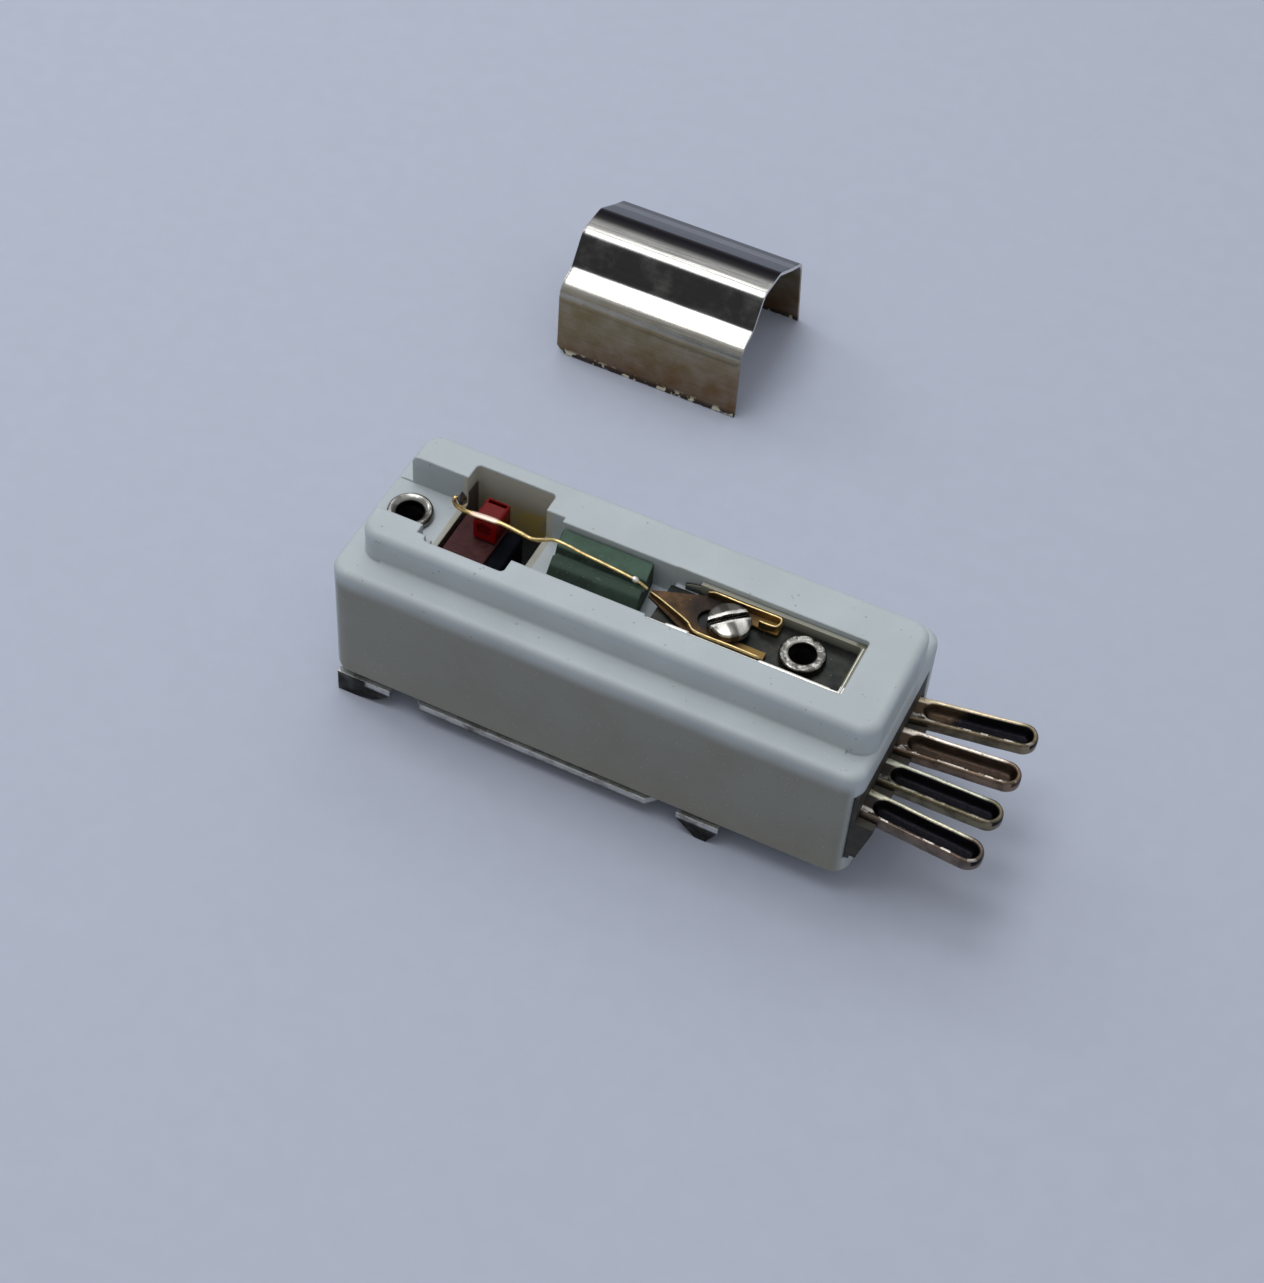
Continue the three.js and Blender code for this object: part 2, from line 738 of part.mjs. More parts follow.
function element(side) {
  const y = elementPlaceY(side);
  return block(
    bootEnd + seatGap, elementEnd, y - elementThickness / 2, y + elementThickness / 2,
    elementBottom, elementBottom + elementHeight);
}

function elementClamp() {
  const half = clampWidth / 2;
  const stock = block(
    clampStart, clampEnd, elementAxisY - half, elementAxisY + half, clampBottom, cavityRoof - seatGap);
  const slots = elementSides.map(([, side]) => {
    const y = elementPlaceY(side);
    const reach = elementThickness / 2 + looseGap;
    return block(
      clampStart - overrun, clampEnd + overrun, y - reach, y + reach,
      elementBottom - looseGap, elementBottom + elementHeight + looseGap);
  });
  return cut(stock, ...slots);
}

// The terminals fan out from the block: each lies on a line from its root place to its tip place.
function pinRootY(i) {
  return pinRootLineY + pinRootPitch * ((pinCount - 1) / 2 - i);
}

function pinTipY(i) {
  return pinTipLineY + pinTipPitch * ((pinCount - 1) / 2 - i);
}

function pinSlope(i) {
  return (pinTipY(i) - pinRootY(i)) / (pinEnd - pinRootX);
}

function pinStartY(i) {
  return pinRootY(i) - pinSlope(i) * (pinRootX - pinStart);
}

// A plan outline drawn from a terminal's start, raised and then laid along its line.
function pinPrism(shape, i, z0, z1) {
  const settings = { depth: z1 - z0, bevelEnabled: false, curveSegments: pinSteps };
  const geometry = new THREE.ExtrudeGeometry(shape, settings);
  geometry.rotateZ(Math.atan(pinSlope(i)));
  geometry.translate(pinStart, pinStartY(i), z0);
  return solid(geometry);
}

function terminalBlock() {
  const [nearY, farY] = [windowNearY + seatGap, windowFarY - seatGap];
  const [bottom, top] = [windowBottom + seatGap, windowTop - seatGap];
  const face = bodyLength - seatGap;
  const lip = bodyLength + lipReach;
  const stock = sidePrism([
    [blockFront, bottom], [face, bottom],
    [face, bottom + lipFoot], [bodyLength + lipFootReach, bottom + lipFoot],
    [lip, lipTop - pinWall], [lip, lipTop], [face, lipTop], [face, top], [blockFront, top],
  ], nearY, farY);
  const reach = pinWidth / 2 + seatGap;
  const end = pinEnd - pinStart;
  const channel = polygon([[-overrun, -reach], [end, -reach], [end, reach], [-overrun, reach]]);
  const channels = Array.from({ length: pinCount }, (_, i) => pinPrism(
    channel, i, pinBottom - seatGap, pinBottom + pinHeight + seatGap));
  const farEnd = block(bodyLength, lip + overrun, lipFarY, farY + overrun, bottom - overrun, top + overrun);
  return cut(stock, farEnd, ...channels);
}

// A stamped terminal: a boat with a rounded tip and a trough along its top.
function terminalPin(i) {
  const half = pinWidth / 2;
  const length = pinEnd - pinStart;
  const outer = new THREE.Shape();
  outer.moveTo(0, -half);
  outer.lineTo(length - half, -half);
  outer.absarc(length - half, 0, half, -Math.PI / 2, Math.PI / 2);
  outer.lineTo(0, half);
  const trough = roundedPlan(
    pinTroughStart, length - pinWall, pinWall - half, half - pinWall, half - pinWall - pinTroughEase);
  const top = pinBottom + pinHeight;
  return cut(pinPrism(outer, i, pinBottom, top), pinPrism(trough, i, pinBottom + pinFloor, top + overrun));
}

// A lead runs from its pin round the eyelet boss to the clamped end of its element.
function terminalLead(i) {
  const level = pinBottom + pinHeight / 2;
  const side = i < pinCount / 2 ? 1 : -1;
  const outer = i === 0 || i === pinCount - 1;
  const place = elementPlaceY(side);
  const lane = rearEyeletY + side * (leadClearY + (outer ? leadEntry * 2 : 0));
  const height = elementBottom + elementHeight / 2 + (outer ? leadEntry : -leadEntry);
  return wire([
    [pinStart - seatGap, pinStartY(i), level],
    [pinStart - leadEntry, pinStartY(i), level],
    [leadClearX, lane, (level + height) / 2],
    [rearEyeletX, lane, height],
    [clampEnd + leadEntry, place, height],
    [elementEnd + seatGap, place, height],
  ], leadDiameter, leadSides, leadSteps);
}

function coverClip() {
  const corners = clipSectionShares.map(([out, up]) => [clipWidth * out, clipHeight * up]);
  const outline = sheetOutline(roundCorners(corners, clipBendRadius, bendSteps), clipThickness);
  const clip = endPrism(outline, 0, clipLength);
  const reach = clipWidth + overrun;
  const trim = block(-overrun, clipLength + overrun, -overrun, reach, -overrun, 0);
  const leg = clipCornerChamfer + overrun;
  const nick = sidePrism([[-overrun, -overrun], [leg, -overrun], [-overrun, leg]], -overrun, reach);
  return cut(clip, trim, nick);
}

function material(colour, roughness, metalness) {
  return new THREE.MeshStandardMaterial({ color: colour, roughness, metalness });
}

const group = new THREE.Group();

function place(name, shape, finish) {
  const geometry = shape.isBufferGeometry ? shape : geometryOf(shape);
  const mesh = new THREE.Mesh(geometry, material(...finish));
  mesh.name = name;
  group.add(mesh);
  return mesh;
}

const whiteResin = [0xdfe3e6, 0.45, 0];
const nickel = [0xb9b6ac, 0.25, 1];
const tarnishedNickel = [0x77746c, 0.4, 1];
const gold = [0xc79a3e, 0.3, 1];
const darkRedResin = [0x5a1f1c, 0.5, 0];
const blackRubber = [0x14161f, 0.7, 0];
const agedBronze = [0x6d5a42, 0.4, 1];

place("body_shell", bodyShell(), whiteResin);
place("mounting_bracket", mountingBracket(), nickel);
place("stylus_tray", stylusTray(), tarnishedNickel);
place("front_eyelet", eyelet(eyeletPlaces[0], troughFloor), nickel);
place("rear_eyelet", eyelet(eyeletPlaces[1], trayFloorTop), nickel);
place("needle_screw", needleScrew(), nickel);
place("screw_insert", screwInsert(), [0xa9873f, 0.35, 1]);
place("needle_shoe", needleShoe(), gold);
place("needle_wire", needleWire(), gold);
place("jewel_tip", jewelTip(), [0x2a1d14, 0.15, 0]);
place("damping_pad", dampingPad(), [0x5f8a76, 0.85, 0]);
place("coupler_yoke", couplerYoke(), darkRedResin);
place("coupler_saddle", couplerSaddle(), [0xb3221c, 0.35, 0]);
place("rubber_boot", rubberBoot(), blackRubber);
elementSides.forEach(([name, side]) => place(`${name}_element`, element(side), [0x8a8378, 0.6, 0]));
place("element_clamp", elementClamp(), blackRubber);
place("terminal_block", terminalBlock(), [0x4a433a, 0.6, 0]);
for (let i = 0; i < pinCount; i += 1) {
  place(`terminal_pin_${i + 1}`, terminalPin(i), agedBronze);
  place(`terminal_lead_${i + 1}`, terminalLead(i), [0xb87333, 0.35, 1]);
}
const clip = place("cover_clip", coverClip(), nickel);
clip.position.set(clipFrontX, clipNearY, standLevel);

group.position.set(-bodyLength / 2, 0, -plateUnderside);

export default group;
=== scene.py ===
"""Looks of a ceramic phono cartridge: body, metal fittings, needle, terminals and cover clip.

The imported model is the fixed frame. Sizes in this file are millimetres, and MM turns them into
metres where Blender is given one. Every piece is built in the model's own frame: X to the
terminals, Y to the far side, Z up.
"""
import itertools
import math

import bmesh
import bpy
from mathutils import Matrix, Vector, noise


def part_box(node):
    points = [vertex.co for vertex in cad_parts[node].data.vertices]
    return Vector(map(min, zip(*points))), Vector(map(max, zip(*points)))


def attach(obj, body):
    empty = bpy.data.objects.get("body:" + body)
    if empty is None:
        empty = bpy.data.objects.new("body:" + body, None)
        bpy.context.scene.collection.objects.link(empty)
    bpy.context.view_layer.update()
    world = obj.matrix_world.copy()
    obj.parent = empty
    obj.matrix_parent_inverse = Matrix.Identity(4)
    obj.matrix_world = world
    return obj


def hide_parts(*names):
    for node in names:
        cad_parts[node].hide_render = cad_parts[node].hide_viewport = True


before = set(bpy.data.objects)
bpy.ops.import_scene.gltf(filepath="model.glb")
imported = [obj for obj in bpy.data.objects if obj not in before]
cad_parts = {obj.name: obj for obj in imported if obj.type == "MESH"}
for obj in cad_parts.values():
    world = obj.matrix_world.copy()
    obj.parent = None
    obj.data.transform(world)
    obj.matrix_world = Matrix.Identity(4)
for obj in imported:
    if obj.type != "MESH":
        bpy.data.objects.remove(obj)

bl_info = {
    "name": "Phono Cartridge Looks",
    "version": (1, 0, 0),
    "blender": (4, 5, 0),
    "location": "View3D > Sidebar > Cartridge",
    "description": "Dresses the packed phono cartridge with shaped pieces and finishes",
    "category": "Object",
}

MM = 0.001
TURN = math.tau

# Places in millimetres that a finish and a shape share: the middle of the well, where the wire
# is flattened, and the round recess in the saddle's near face.
WELL = Vector((-7.6, -0.12))
FLAT_OF_WIRE = -7.85
DISC = Vector((-7.875, 0.0, 8.79))
DISC_RADIUS = 0.4


def colour_setting(name, description, default):
    """A colour that the user picks, as red, green and blue."""
    return bpy.props.FloatVectorProperty(
        name=name, description=description, default=default, size=3, min=0, max=1, subtype="COLOR")


def length_setting(name, description, default, least=0.0):
    """A length that the user sets, given in millimetres and kept in metres."""
    return bpy.props.FloatProperty(
        name=name, description=description, default=default * MM, min=least * MM, precision=5,
        subtype="DISTANCE", unit="LENGTH")


def power_setting(name, description, default):
    """The power of a lamp, in watts."""
    return bpy.props.FloatProperty(
        name=name, description=description, default=default, min=0, unit="POWER")


class CartridgeSizes(bpy.types.PropertyGroup):
    """Sizes of the small forms that the solids leave out."""

    moulded_edge: length_setting("Moulded Edge", "Rounding of the moulding's edges", 0.16)
    metal_edge: length_setting("Metal Edge", "Rounding of the sheet metal's edges", 0.05)
    wire_width: length_setting("Wire Width", "Thickness of the needle wire", 0.22, 0.05)
    pad_round: length_setting("Pad Rounding", "Rounding of the soft pad's edges", 0.12)
    clip_bend: length_setting("Clip Bend", "Radius of the bends in the cover clip", 0.85, 0.1)
    clip_burr: length_setting("Clip Burr", "Depth of the burrs along the clip's lower edges", 0.17)
    crimp_depth: length_setting("Crimp Depth", "Depth of the splits in the rear eyelet's rim", 0.05)
    pin_wall: length_setting("Pin Wall", "Thickness of the rims of the terminals", 0.22, 0.1)
    shoe_rim: length_setting("Shoe Rim", "Thickness of the folded rims of the shoe", 0.11, 0.05)


class CartridgeColours(bpy.types.PropertyGroup):
    """Colours of the finishes."""

    moulding: colour_setting("Moulding", "Cool white moulded plastic", (0.50, 0.56, 0.59))
    # also painted as shade low on the body's walls and at the bottom of the well
    grime_and_shade: colour_setting("Grime", "Dust that lies in the cut hollows", (0.20, 0.175, 0.12))
    nickel: colour_setting("Nickel", "Bright nickel plate", (0.70, 0.69, 0.65))
    tarnish: colour_setting("Tarnish", "Darkened nickel", (0.12, 0.115, 0.10))
    gold: colour_setting("Gold", "Gold plate", (0.86, 0.66, 0.31))
    # also painted as shade on the near faces of the shoe's rims
    gold_film_and_shade: colour_setting("Gold Hollow", "Brown film on the gold", (0.13, 0.075, 0.03))
    damper: colour_setting("Damper", "Sage green damping pad", (0.060, 0.110, 0.079))
    saddle: colour_setting("Saddle", "Translucent red plastic", (0.15, 0.006, 0.006))
    yoke: colour_setting("Yoke", "Dusty dark red plastic", (0.052, 0.014, 0.015))
    rubber: colour_setting("Rubber", "Blue black rubber", (0.0016, 0.0024, 0.0045))
    ceramic: colour_setting("Ceramic", "Fired grey ceramic", (0.30, 0.28, 0.24))
    resin: colour_setting(
        "Terminal Resin", "Grey brown resin of the terminal block", (0.024, 0.022, 0.017))
    copper: colour_setting("Copper", "Bare copper wire", (0.62, 0.27, 0.13))


class StudioSettings(bpy.types.PropertyGroup):
    """Camera, floor and lamps."""

    lens: bpy.props.FloatProperty(
        name="Lens", description="Focal length of the camera", default=73.22, min=10, unit="CAMERA")
    floor: colour_setting("Floor", "Colour of the floor", (0.49, 0.535, 0.65))
    key_watts: power_setting("Key Lamp", "Power of the large lamp above the cartridge", 0.188)
    fill_watts: power_setting("Fill Lamp", "Power of the lamp at the left", 0.05)
    window_watts: power_setting("Window Lamp", "Power of the strip beyond the far side", 0.042)
    sky: bpy.props.FloatProperty(
        name="Sky", description="Strength of the light from all round", default=0.60, min=0,
        subtype="FACTOR")


class Term:
    """A socket in a shader expression. Arithmetic on it adds Math nodes to its sheet."""

    def __init__(self, sheet, socket):
        self.sheet = sheet
        self.socket = socket

    def _math(self, operation, first, second):
        return self.sheet.node("ShaderNodeMath", {"operation": operation}, {0: first, 1: second})

    def __add__(self, other):
        return self._math("ADD", self, other)

    __radd__ = __add__

    def __sub__(self, other):
        return self._math("SUBTRACT", self, other)

    def __rsub__(self, other):
        return self._math("SUBTRACT", other, self)

    def __mul__(self, other):
        return self._math("MULTIPLY", self, other)

    __rmul__ = __mul__

    def __truediv__(self, other):
        return self._math("DIVIDE", self, other)

    def __pow__(self, other):
        return self._math("POWER", self, other)

    def __abs__(self):
        return self._math("ABSOLUTE", self, 0.0)

    def most(self, other):
        return self._math("MAXIMUM", self, other)

    def least(self, other):
        return self._math("MINIMUM", self, other)


class Graph:
    """A node tree that is written as expressions."""

    def __init__(self, tree):
        self.tree = tree

    def node(self, kind, settings=None, values=None, out=0):
        """Adds a node: its settings first, then the values or links of its sockets."""
        made = self.tree.nodes.new(kind)
        for key, value in (settings or {}).items():
            if key == "stops":
                self.stops(made.color_ramp, value)
            else:
                setattr(made, key, value)
        for key, value in (values or {}).items():
            if isinstance(value, Term):
                self.tree.links.new(value.socket, made.inputs[key])
            else:
                made.inputs[key].default_value = value
        return Term(self, made.outputs[out])

    @staticmethod
    def stops(ramp, stops):
        while len(ramp.elements) < len(stops):
            ramp.elements.new(0.5)
        for element, (position, colour) in zip(ramp.elements, stops):
            element.position = position
            element.color = (*colour, 1)

    def between(self, value, low, high):
        """Nought at low, one at high, and smooth between them."""
        return self.node("ShaderNodeMapRange", {"interpolation_type": "SMOOTHSTEP"}, {
            "Value": value, "From Min": low, "From Max": high, "To Min": 0.0, "To Max": 1.0})

    def around(self, value, centre, outer, inner):
        """One nearer to a centre than the inner distance, nought beyond the outer one."""
        return self.between(abs(value - centre), outer, inner)

    def mix(self, share, first, second, how="MIX"):
        """A colour that goes from the first to the second."""
        colours = [c if isinstance(c, Term) else (*c, 1) for c in (first, second)]
        return self.node(
            "ShaderNodeMix", {"data_type": "RGBA", "blend_type": how},
            {0: share, 6: colours[0], 7: colours[1]}, out=2)


class Sheet(Graph):
    """A material whose places are in millimetres."""

    def __init__(self, name):
        self.material = bpy.data.materials.new(name)
        self.material.use_nodes = True
        super().__init__(self.material.node_tree)
        self.shader = self.tree.nodes["Principled BSDF"]
        self.base = None
        texture = self.node("ShaderNodeTexCoord", out="Object")
        self.place = self.node(
            "ShaderNodeVectorMath", {"operation": "SCALE"}, {0: texture, "Scale": 1 / MM})
        self.x, self.y, self.z = (
            self.node("ShaderNodeSeparateXYZ", values={0: self.place}, out=axis) for axis in "XYZ")

    def noise(self, scale, detail=3.0, roughness=0.55, stretch=(1, 1, 1)):
        """Cloudy noise with so many waves to the millimetre."""
        at = self.place
        if stretch != (1, 1, 1):
            at = self.node("ShaderNodeVectorMath", {"operation": "MULTIPLY"}, {0: at, 1: stretch})
        return self.node("ShaderNodeTexNoise", values={
            "Vector": at, "Scale": scale, "Detail": detail, "Roughness": roughness})

    def specks(self, scale, size):
        """Round specks: one where a cell's point lies nearer than the size."""
        cells = self.node("ShaderNodeTexVoronoi", values={"Vector": self.place, "Scale": scale})
        return self.between(cells, size, size * 0.5)

    def patches(self, scale, low, high, detail=3.0):
        """One where cloudy noise is above high, nought where it is below low."""
        return self.between(self.noise(scale, detail), low, high)

    def scattered(self, scale, size, group, low, high, detail=2.0):
        """Specks that lie in loose groups only."""
        return self.specks(scale, size) * self.patches(group, low, high, detail)

    def scratches(self):
        """Fine scratches, mostly along X."""
        return self.between(self.noise(5.0, 2.0, 0.5, (0.25, 1.6, 1.0)), 0.62, 0.68)

    def rounded(self, radius):
        """The normal as it would be on edges of this radius."""
        return self.node("ShaderNodeBevel", {"samples": 4}, {"Radius": radius * MM})

    def edges(self, radius, spread=0.12):
        """One along edges and nought on flats, from how far the rounded normal turns away."""
        plain = self.node("ShaderNodeNewGeometry", out="Normal")
        same = self.node(
            "ShaderNodeVectorMath", {"operation": "DOT_PRODUCT"},
            {0: self.rounded(radius), 1: plain}, out="Value")
        return self.between(1 - same, 0.0, spread)

    def facing(self, axis, low, high):
        """One where the surface looks along an axis, nought where it looks another way."""
        normal = self.node("ShaderNodeNewGeometry", out="Normal")
        part = self.node("ShaderNodeSeparateXYZ", values={0: normal}, out=axis)
        return self.between(part, low, high)

    def facing_up(self):
        """One where the surface looks up, nought where it is a wall or looks down."""
        return self.facing("Z", 0.25, 0.8)

    def bump(self, height, depth, strength=1.0, under=None):
        """A normal from a height of nought to one, so many millimetres deep."""
        values = {"Height": height, "Distance": depth * MM, "Strength": strength}
        if under is not None:
            values["Normal"] = under
        return self.node("ShaderNodeBump", values=values)

    def lay(self, share, colour):
        """Covers the base colour with another one, by a share."""
        self.base = self.mix(share, self.base, colour)

    def finish(self, **sockets):
        """Sets the base colour and the shader's other sockets, and gives the material back."""
        for key, value in {"Base_Color": self.base, **sockets}.items():
            socket = self.shader.inputs[key.replace("_", " ")]
            if isinstance(value, Term):
                self.tree.links.new(value.socket, socket)
            elif socket.type == "RGBA" and len(value) == 3:
                socket.default_value = (*value, 1)
            else:
                socket.default_value = value
        return self.material


class Tint:
    """Fixed colours of films, stains and wear, and of painted light and shade, by the piece that they
    lie on.
    """

    # the moulding: dust and painted shade in the well, painted shade on the near side, pale grains
    WELL_WALL_DUST_AND_SHADE = (0.56, 0.53, 0.44)
    WELL_FOOT_SHADE = (0.37, 0.325, 0.225)
    WELL_STAIN = (0.50, 0.38, 0.10)
    WELL_END_SHADE = (0.055, 0.032, 0.028)
    # painted shade on the body's near walls
    NEAR_SIDE_SHADE = (0.235, 0.22, 0.16)
    NEAR_PAINTED_SHADE = (0.160, 0.145, 0.098)
    PALE_GRAIN = (0.85, 0.88, 0.88)

    # the sheet metal and the eyelets
    # painted shade in the eyelets' bores
    BORE = (0.005, 0.005, 0.008)
    # painted dark reflection on the bracket's ears and tabs
    EAR_DARK_REFLECTION = (0.012, 0.011, 0.010)
    BROWN_SPOT = (0.10, 0.07, 0.04)

    # the tray
    TRAY_DARK = (0.028, 0.031, 0.030)
    TRAY_LIGHT = (0.052, 0.054, 0.050)
    TRAY_SPOT = (0.30, 0.30, 0.27)
    TRAY_STAIN = (0.07, 0.055, 0.035)
    # painted highlights on the tray's rims, and painted light on its far wall
    TRAY_NEAR_RIM_HIGHLIGHT = (0.86, 0.85, 0.78)
    TRAY_END_RIM_HIGHLIGHT = (0.22, 0.215, 0.15)
    TRAY_FAR_LIGHT_FOOT = (0.20, 0.205, 0.165)
    TRAY_FAR_LIGHT_TOP = (0.33, 0.33, 0.27)
    TRAY_LIP = (0.90, 0.89, 0.83)

    # the shoe and the wire: painted shade and glints on the shoe's floor, painted highlights on the
    # wire and its bead
    # painted highlight on the flattened wire
    WIRE_PAINTED_GLINT = (1.0, 0.76, 0.66)
    SHOE_BROWN = (0.125, 0.070, 0.034)
    SHOE_DEEP = (0.060, 0.036, 0.020)
    SHOE_PAINTED_SHADE = (0.018, 0.015, 0.015)
    SHOE_ARM = (0.30, 0.19, 0.055)
    SHOE_PAINTED_GLINT = (0.35, 0.22, 0.10)
    # painted highlight on the bead
    BEAD_HIGHLIGHT = (1.0, 0.95, 0.86)

    # the screw and its insert
    # painted highlights and painted shade on the screw head
    SCREW_DULL = (0.15, 0.145, 0.135)
    SCREW_FAR_SHADE = (0.05, 0.045, 0.04)
    SCREW_SLOT_SHADE = (0.02, 0.018, 0.016)
    BRASS = (0.66, 0.45, 0.19)
    BRASS_DARK = (0.25, 0.16, 0.07)

    # the pad
    PAD_LINT = (0.17, 0.20, 0.18)
    PAD_GRAIN = (0.30, 0.33, 0.30)

    # the coupler
    SADDLE_CLOUD = (0.22, 0.02, 0.018)
    # painted light on the saddle's near face, painted shade in its disc and slit
    SADDLE_FACE_LIGHT = (0.25, 0.003, 0.004)
    SADDLE_DISC_SHADE = (0.12, 0.003, 0.003)
    SADDLE_SLIT_SHADE = (0.03, 0.002, 0.002)
    YOKE_DUST = (0.075, 0.036, 0.035)
    YOKE_EDGE = (0.13, 0.045, 0.045)
    RUBBER_LINT = (0.12, 0.12, 0.13)
    RUBBER_EDGE = (0.009, 0.011, 0.018)

    # the terminals and their block
    # painted shade in the terminals' troughs and painted highlights on their rims
    TROUGH_BLACK_SHADE = (0.006, 0.006, 0.009)
    RIM_PAINTED_GLINT = (0.95, 0.90, 0.82)
    RESIN_FLECK = (0.22, 0.20, 0.17)
    RESIN_UPWARD = (0.16, 0.145, 0.12)

    # the cover clip: painted reflections, spots and burrs
    REFLECTION_HIGH = (0.22, 0.168, 0.085)
    REFLECTION_LOW = (0.17, 0.088, 0.028)
    CLIP_AWAY_REFLECTION = (0.020, 0.019, 0.026)
    CLIP_VALLEY_REFLECTION = (0.045, 0.045, 0.052)
    BURR_DARK = (0.04, 0.025, 0.02)
    BURR_BRIGHT = (0.95, 0.85, 0.6)

    # the jewel and the elements
    JEWEL_DARK = (0.010, 0.008, 0.006)
    JEWEL_VEIN = (0.09, 0.05, 0.02)
    SILVER = (0.45, 0.45, 0.44)


def shade(colour, share):
    """A colour made darker, or lighter where the share is above one."""
    return tuple(min(1.0, part * share) for part in colour)


def moulding_finish(colours, edge):
    """Cool white plastic: faint flow clouds, dusty cut hollows, painted shade in the well and on the
    near and lower walls, specks, worn edges with a painted highlight.
    """
    s = Sheet("white_moulding")
    clouds = s.noise(0.25, 4.0)
    grain = s.noise(7.0, 3.0, 0.6)
    s.base = s.mix(
        s.between(clouds, 0.35, 0.7), shade(colours.moulding, 0.955), shade(colours.moulding, 1.03))
    walls = 1 - s.facing_up()
    trough = s.around(s.y, -0.4, 2.45, 2.2) * s.between(s.z, 9.3, 8.6)
    trough = trough * s.between(s.x, -13.4, -12.6)
    dust = (trough * walls * (0.3 + s.noise(1.2, 4.0) * 0.7)).least(1.0)
    s.lay(dust * 0.2, colours.grime_and_shade)
    well = s.around(s.x, WELL.x, 2.47, 2.37) * s.around(s.y, WELL.y, 3.05, 2.97)
    well = well * s.between(s.z, 9.6, 9.45)
    well_clouds = s.noise(1.1, 4.0)
    # dust and painted shade: the well's walls are painted beige
    s.lay(well * walls * (0.5 + well_clouds * 0.5), Tint.WELL_WALL_DUST_AND_SHADE)
    # painted shade: darker down the well, and near black at its bottom
    s.lay(well * s.between(s.z + well_clouds, 9.4, 7.6) * 0.9, Tint.WELL_FOOT_SHADE)
    s.lay(well * s.between(s.z, 6.6, 5.4), shade(colours.grime_and_shade, 0.3))
    stain_and_reflection = s.between(abs(s.x + 6.7) + well_clouds * 0.8, 2.2, 0.9) * s.around(s.z, 6.9, 1.2, 0.6)
    stain_and_reflection = stain_and_reflection * s.facing("Y", -0.2, -0.6) * s.between(well_clouds, 0.3, 0.5)
    s.lay(stain_and_reflection * well * 0.85, Tint.WELL_STAIN)
    # painted shade on the well's end wall below its rim
    end = well * s.facing("X", 0.5, 0.9) * s.between(s.z, 8.75, 8.5)
    s.lay(end * 0.9, Tint.WELL_END_SHADE)
    # painted shade: the near walls are painted a darker warm grey, most on the lower near wall
    side = s.facing("Y", -0.6, -0.95) * s.between(s.y, -3.0, -3.6) * s.between(s.z, 9.4, 8.6)
    s.lay(side * 0.12, Tint.NEAR_SIDE_SHADE)
    film = side * s.between(s.z + clouds * 0.5, 7.8, 6.8) * (0.55 + clouds * 0.35)
    s.lay(film, Tint.NEAR_PAINTED_SHADE)
    # painted shade: the walls are painted darker towards the bottom
    low = s.between(s.z, 3.2, 0.5) * (0.5 + s.noise(0.8, 5.0)) * walls
    s.lay(low * 0.22, shade(colours.grime_and_shade, 1.5))
    s.lay(s.scattered(2.3, 0.16, 0.9, 0.5, 0.62) * 0.55, colours.grime_and_shade)
    s.lay(s.scattered(4.1, 0.12, 0.7, 0.42, 0.5) * 0.4, Tint.PALE_GRAIN)
    # wear and painted highlight: the edges are painted lighter in patches
    worn = s.edges(0.12, 0.2) * s.patches(2.5, 0.45, 0.65)
    s.lay(worn * 0.3, shade(colours.moulding, 1.3))
    ripple = s.bump(s.noise(0.9, 2.0), 0.02, 0.35, s.rounded(edge))
    skin = s.bump(grain, 0.006, 0.5, ripple)
    return s.finish(
        Roughness=0.42 + grain * 0.16 + dust * 0.2, Normal=skin,
        Subsurface_Weight=0.12, Subsurface_Radius=(1.0, 1.0, 0.9), Subsurface_Scale=0.5 * MM,
        IOR=1.45)


def nickel_finish(name, colour, tarnish, cover, rough):
    """Bright plate: fine grain, cloudy tarnish, bright worn edges and fine scratches."""
    s = Sheet(name)
    edge = 0.02
    grain = s.noise(2.4, 4.0, 0.6)
    cloud = s.noise(0.9, 5.0, 0.6)
    film = s.between(cloud + (grain - 0.5) * 0.35, 0.72 - cover, 0.92 - cover)
    worn = s.edges(edge, 0.1)
    film = film * (1 - worn * 0.85)
    s.base = s.mix(film, colour, tarnish)
    pits = s.scattered(3.3, 0.13, 1.3, 0.5, 0.6)
    s.lay(pits * 0.7, shade(tarnish, 0.4))
    skin = s.bump(grain, 0.004, 0.35, s.bump(cloud, 0.02, 0.4, s.rounded(edge)))
    return s.finish(
        Metallic=1.0, Normal=skin,
        Roughness=rough + film * 0.22 + pits * 0.2 + s.scratches() * 0.12)


def eyelet_finish(name, colour, dark, centre, top, dented):
    """Nickel plate of an eyelet: painted shade in the bore and along the ring's outer edge, and dull
    dents in the ring.
    """
    s = Sheet(name)
    radius = ((s.x - centre.x) ** 2.0 + (s.y - centre.y) ** 2.0) ** 0.5
    cloud = s.noise(1.5, 4.0, 0.6)
    fine = s.noise(5.0, 3.0, 0.6)
    s.base = s.mix(s.between(cloud, 0.45, 0.7), colour, dark)
    dents = s.patches(1.9, 0.5, 0.6) * dented
    s.lay(dents, shade(dark, 0.7))
    # painted shade along the ring's rolled outer edge
    s.lay(s.between(radius, 1.0, 1.12) * 0.7, shade(dark, 0.6))
    # painted shade: the bore is painted near black
    bore = s.between(radius, 0.745, 0.70) * s.between(s.z, top - 0.08, top - 0.22)
    s.lay(bore, Tint.BORE)
    skin = s.bump(fine, 0.01, 0.4, s.bump(cloud, 0.03, 0.4))
    return s.finish(
        Metallic=1.0, Normal=skin,
        Roughness=0.16 + fine * 0.14 + dents * 0.2 + bore * 0.4)


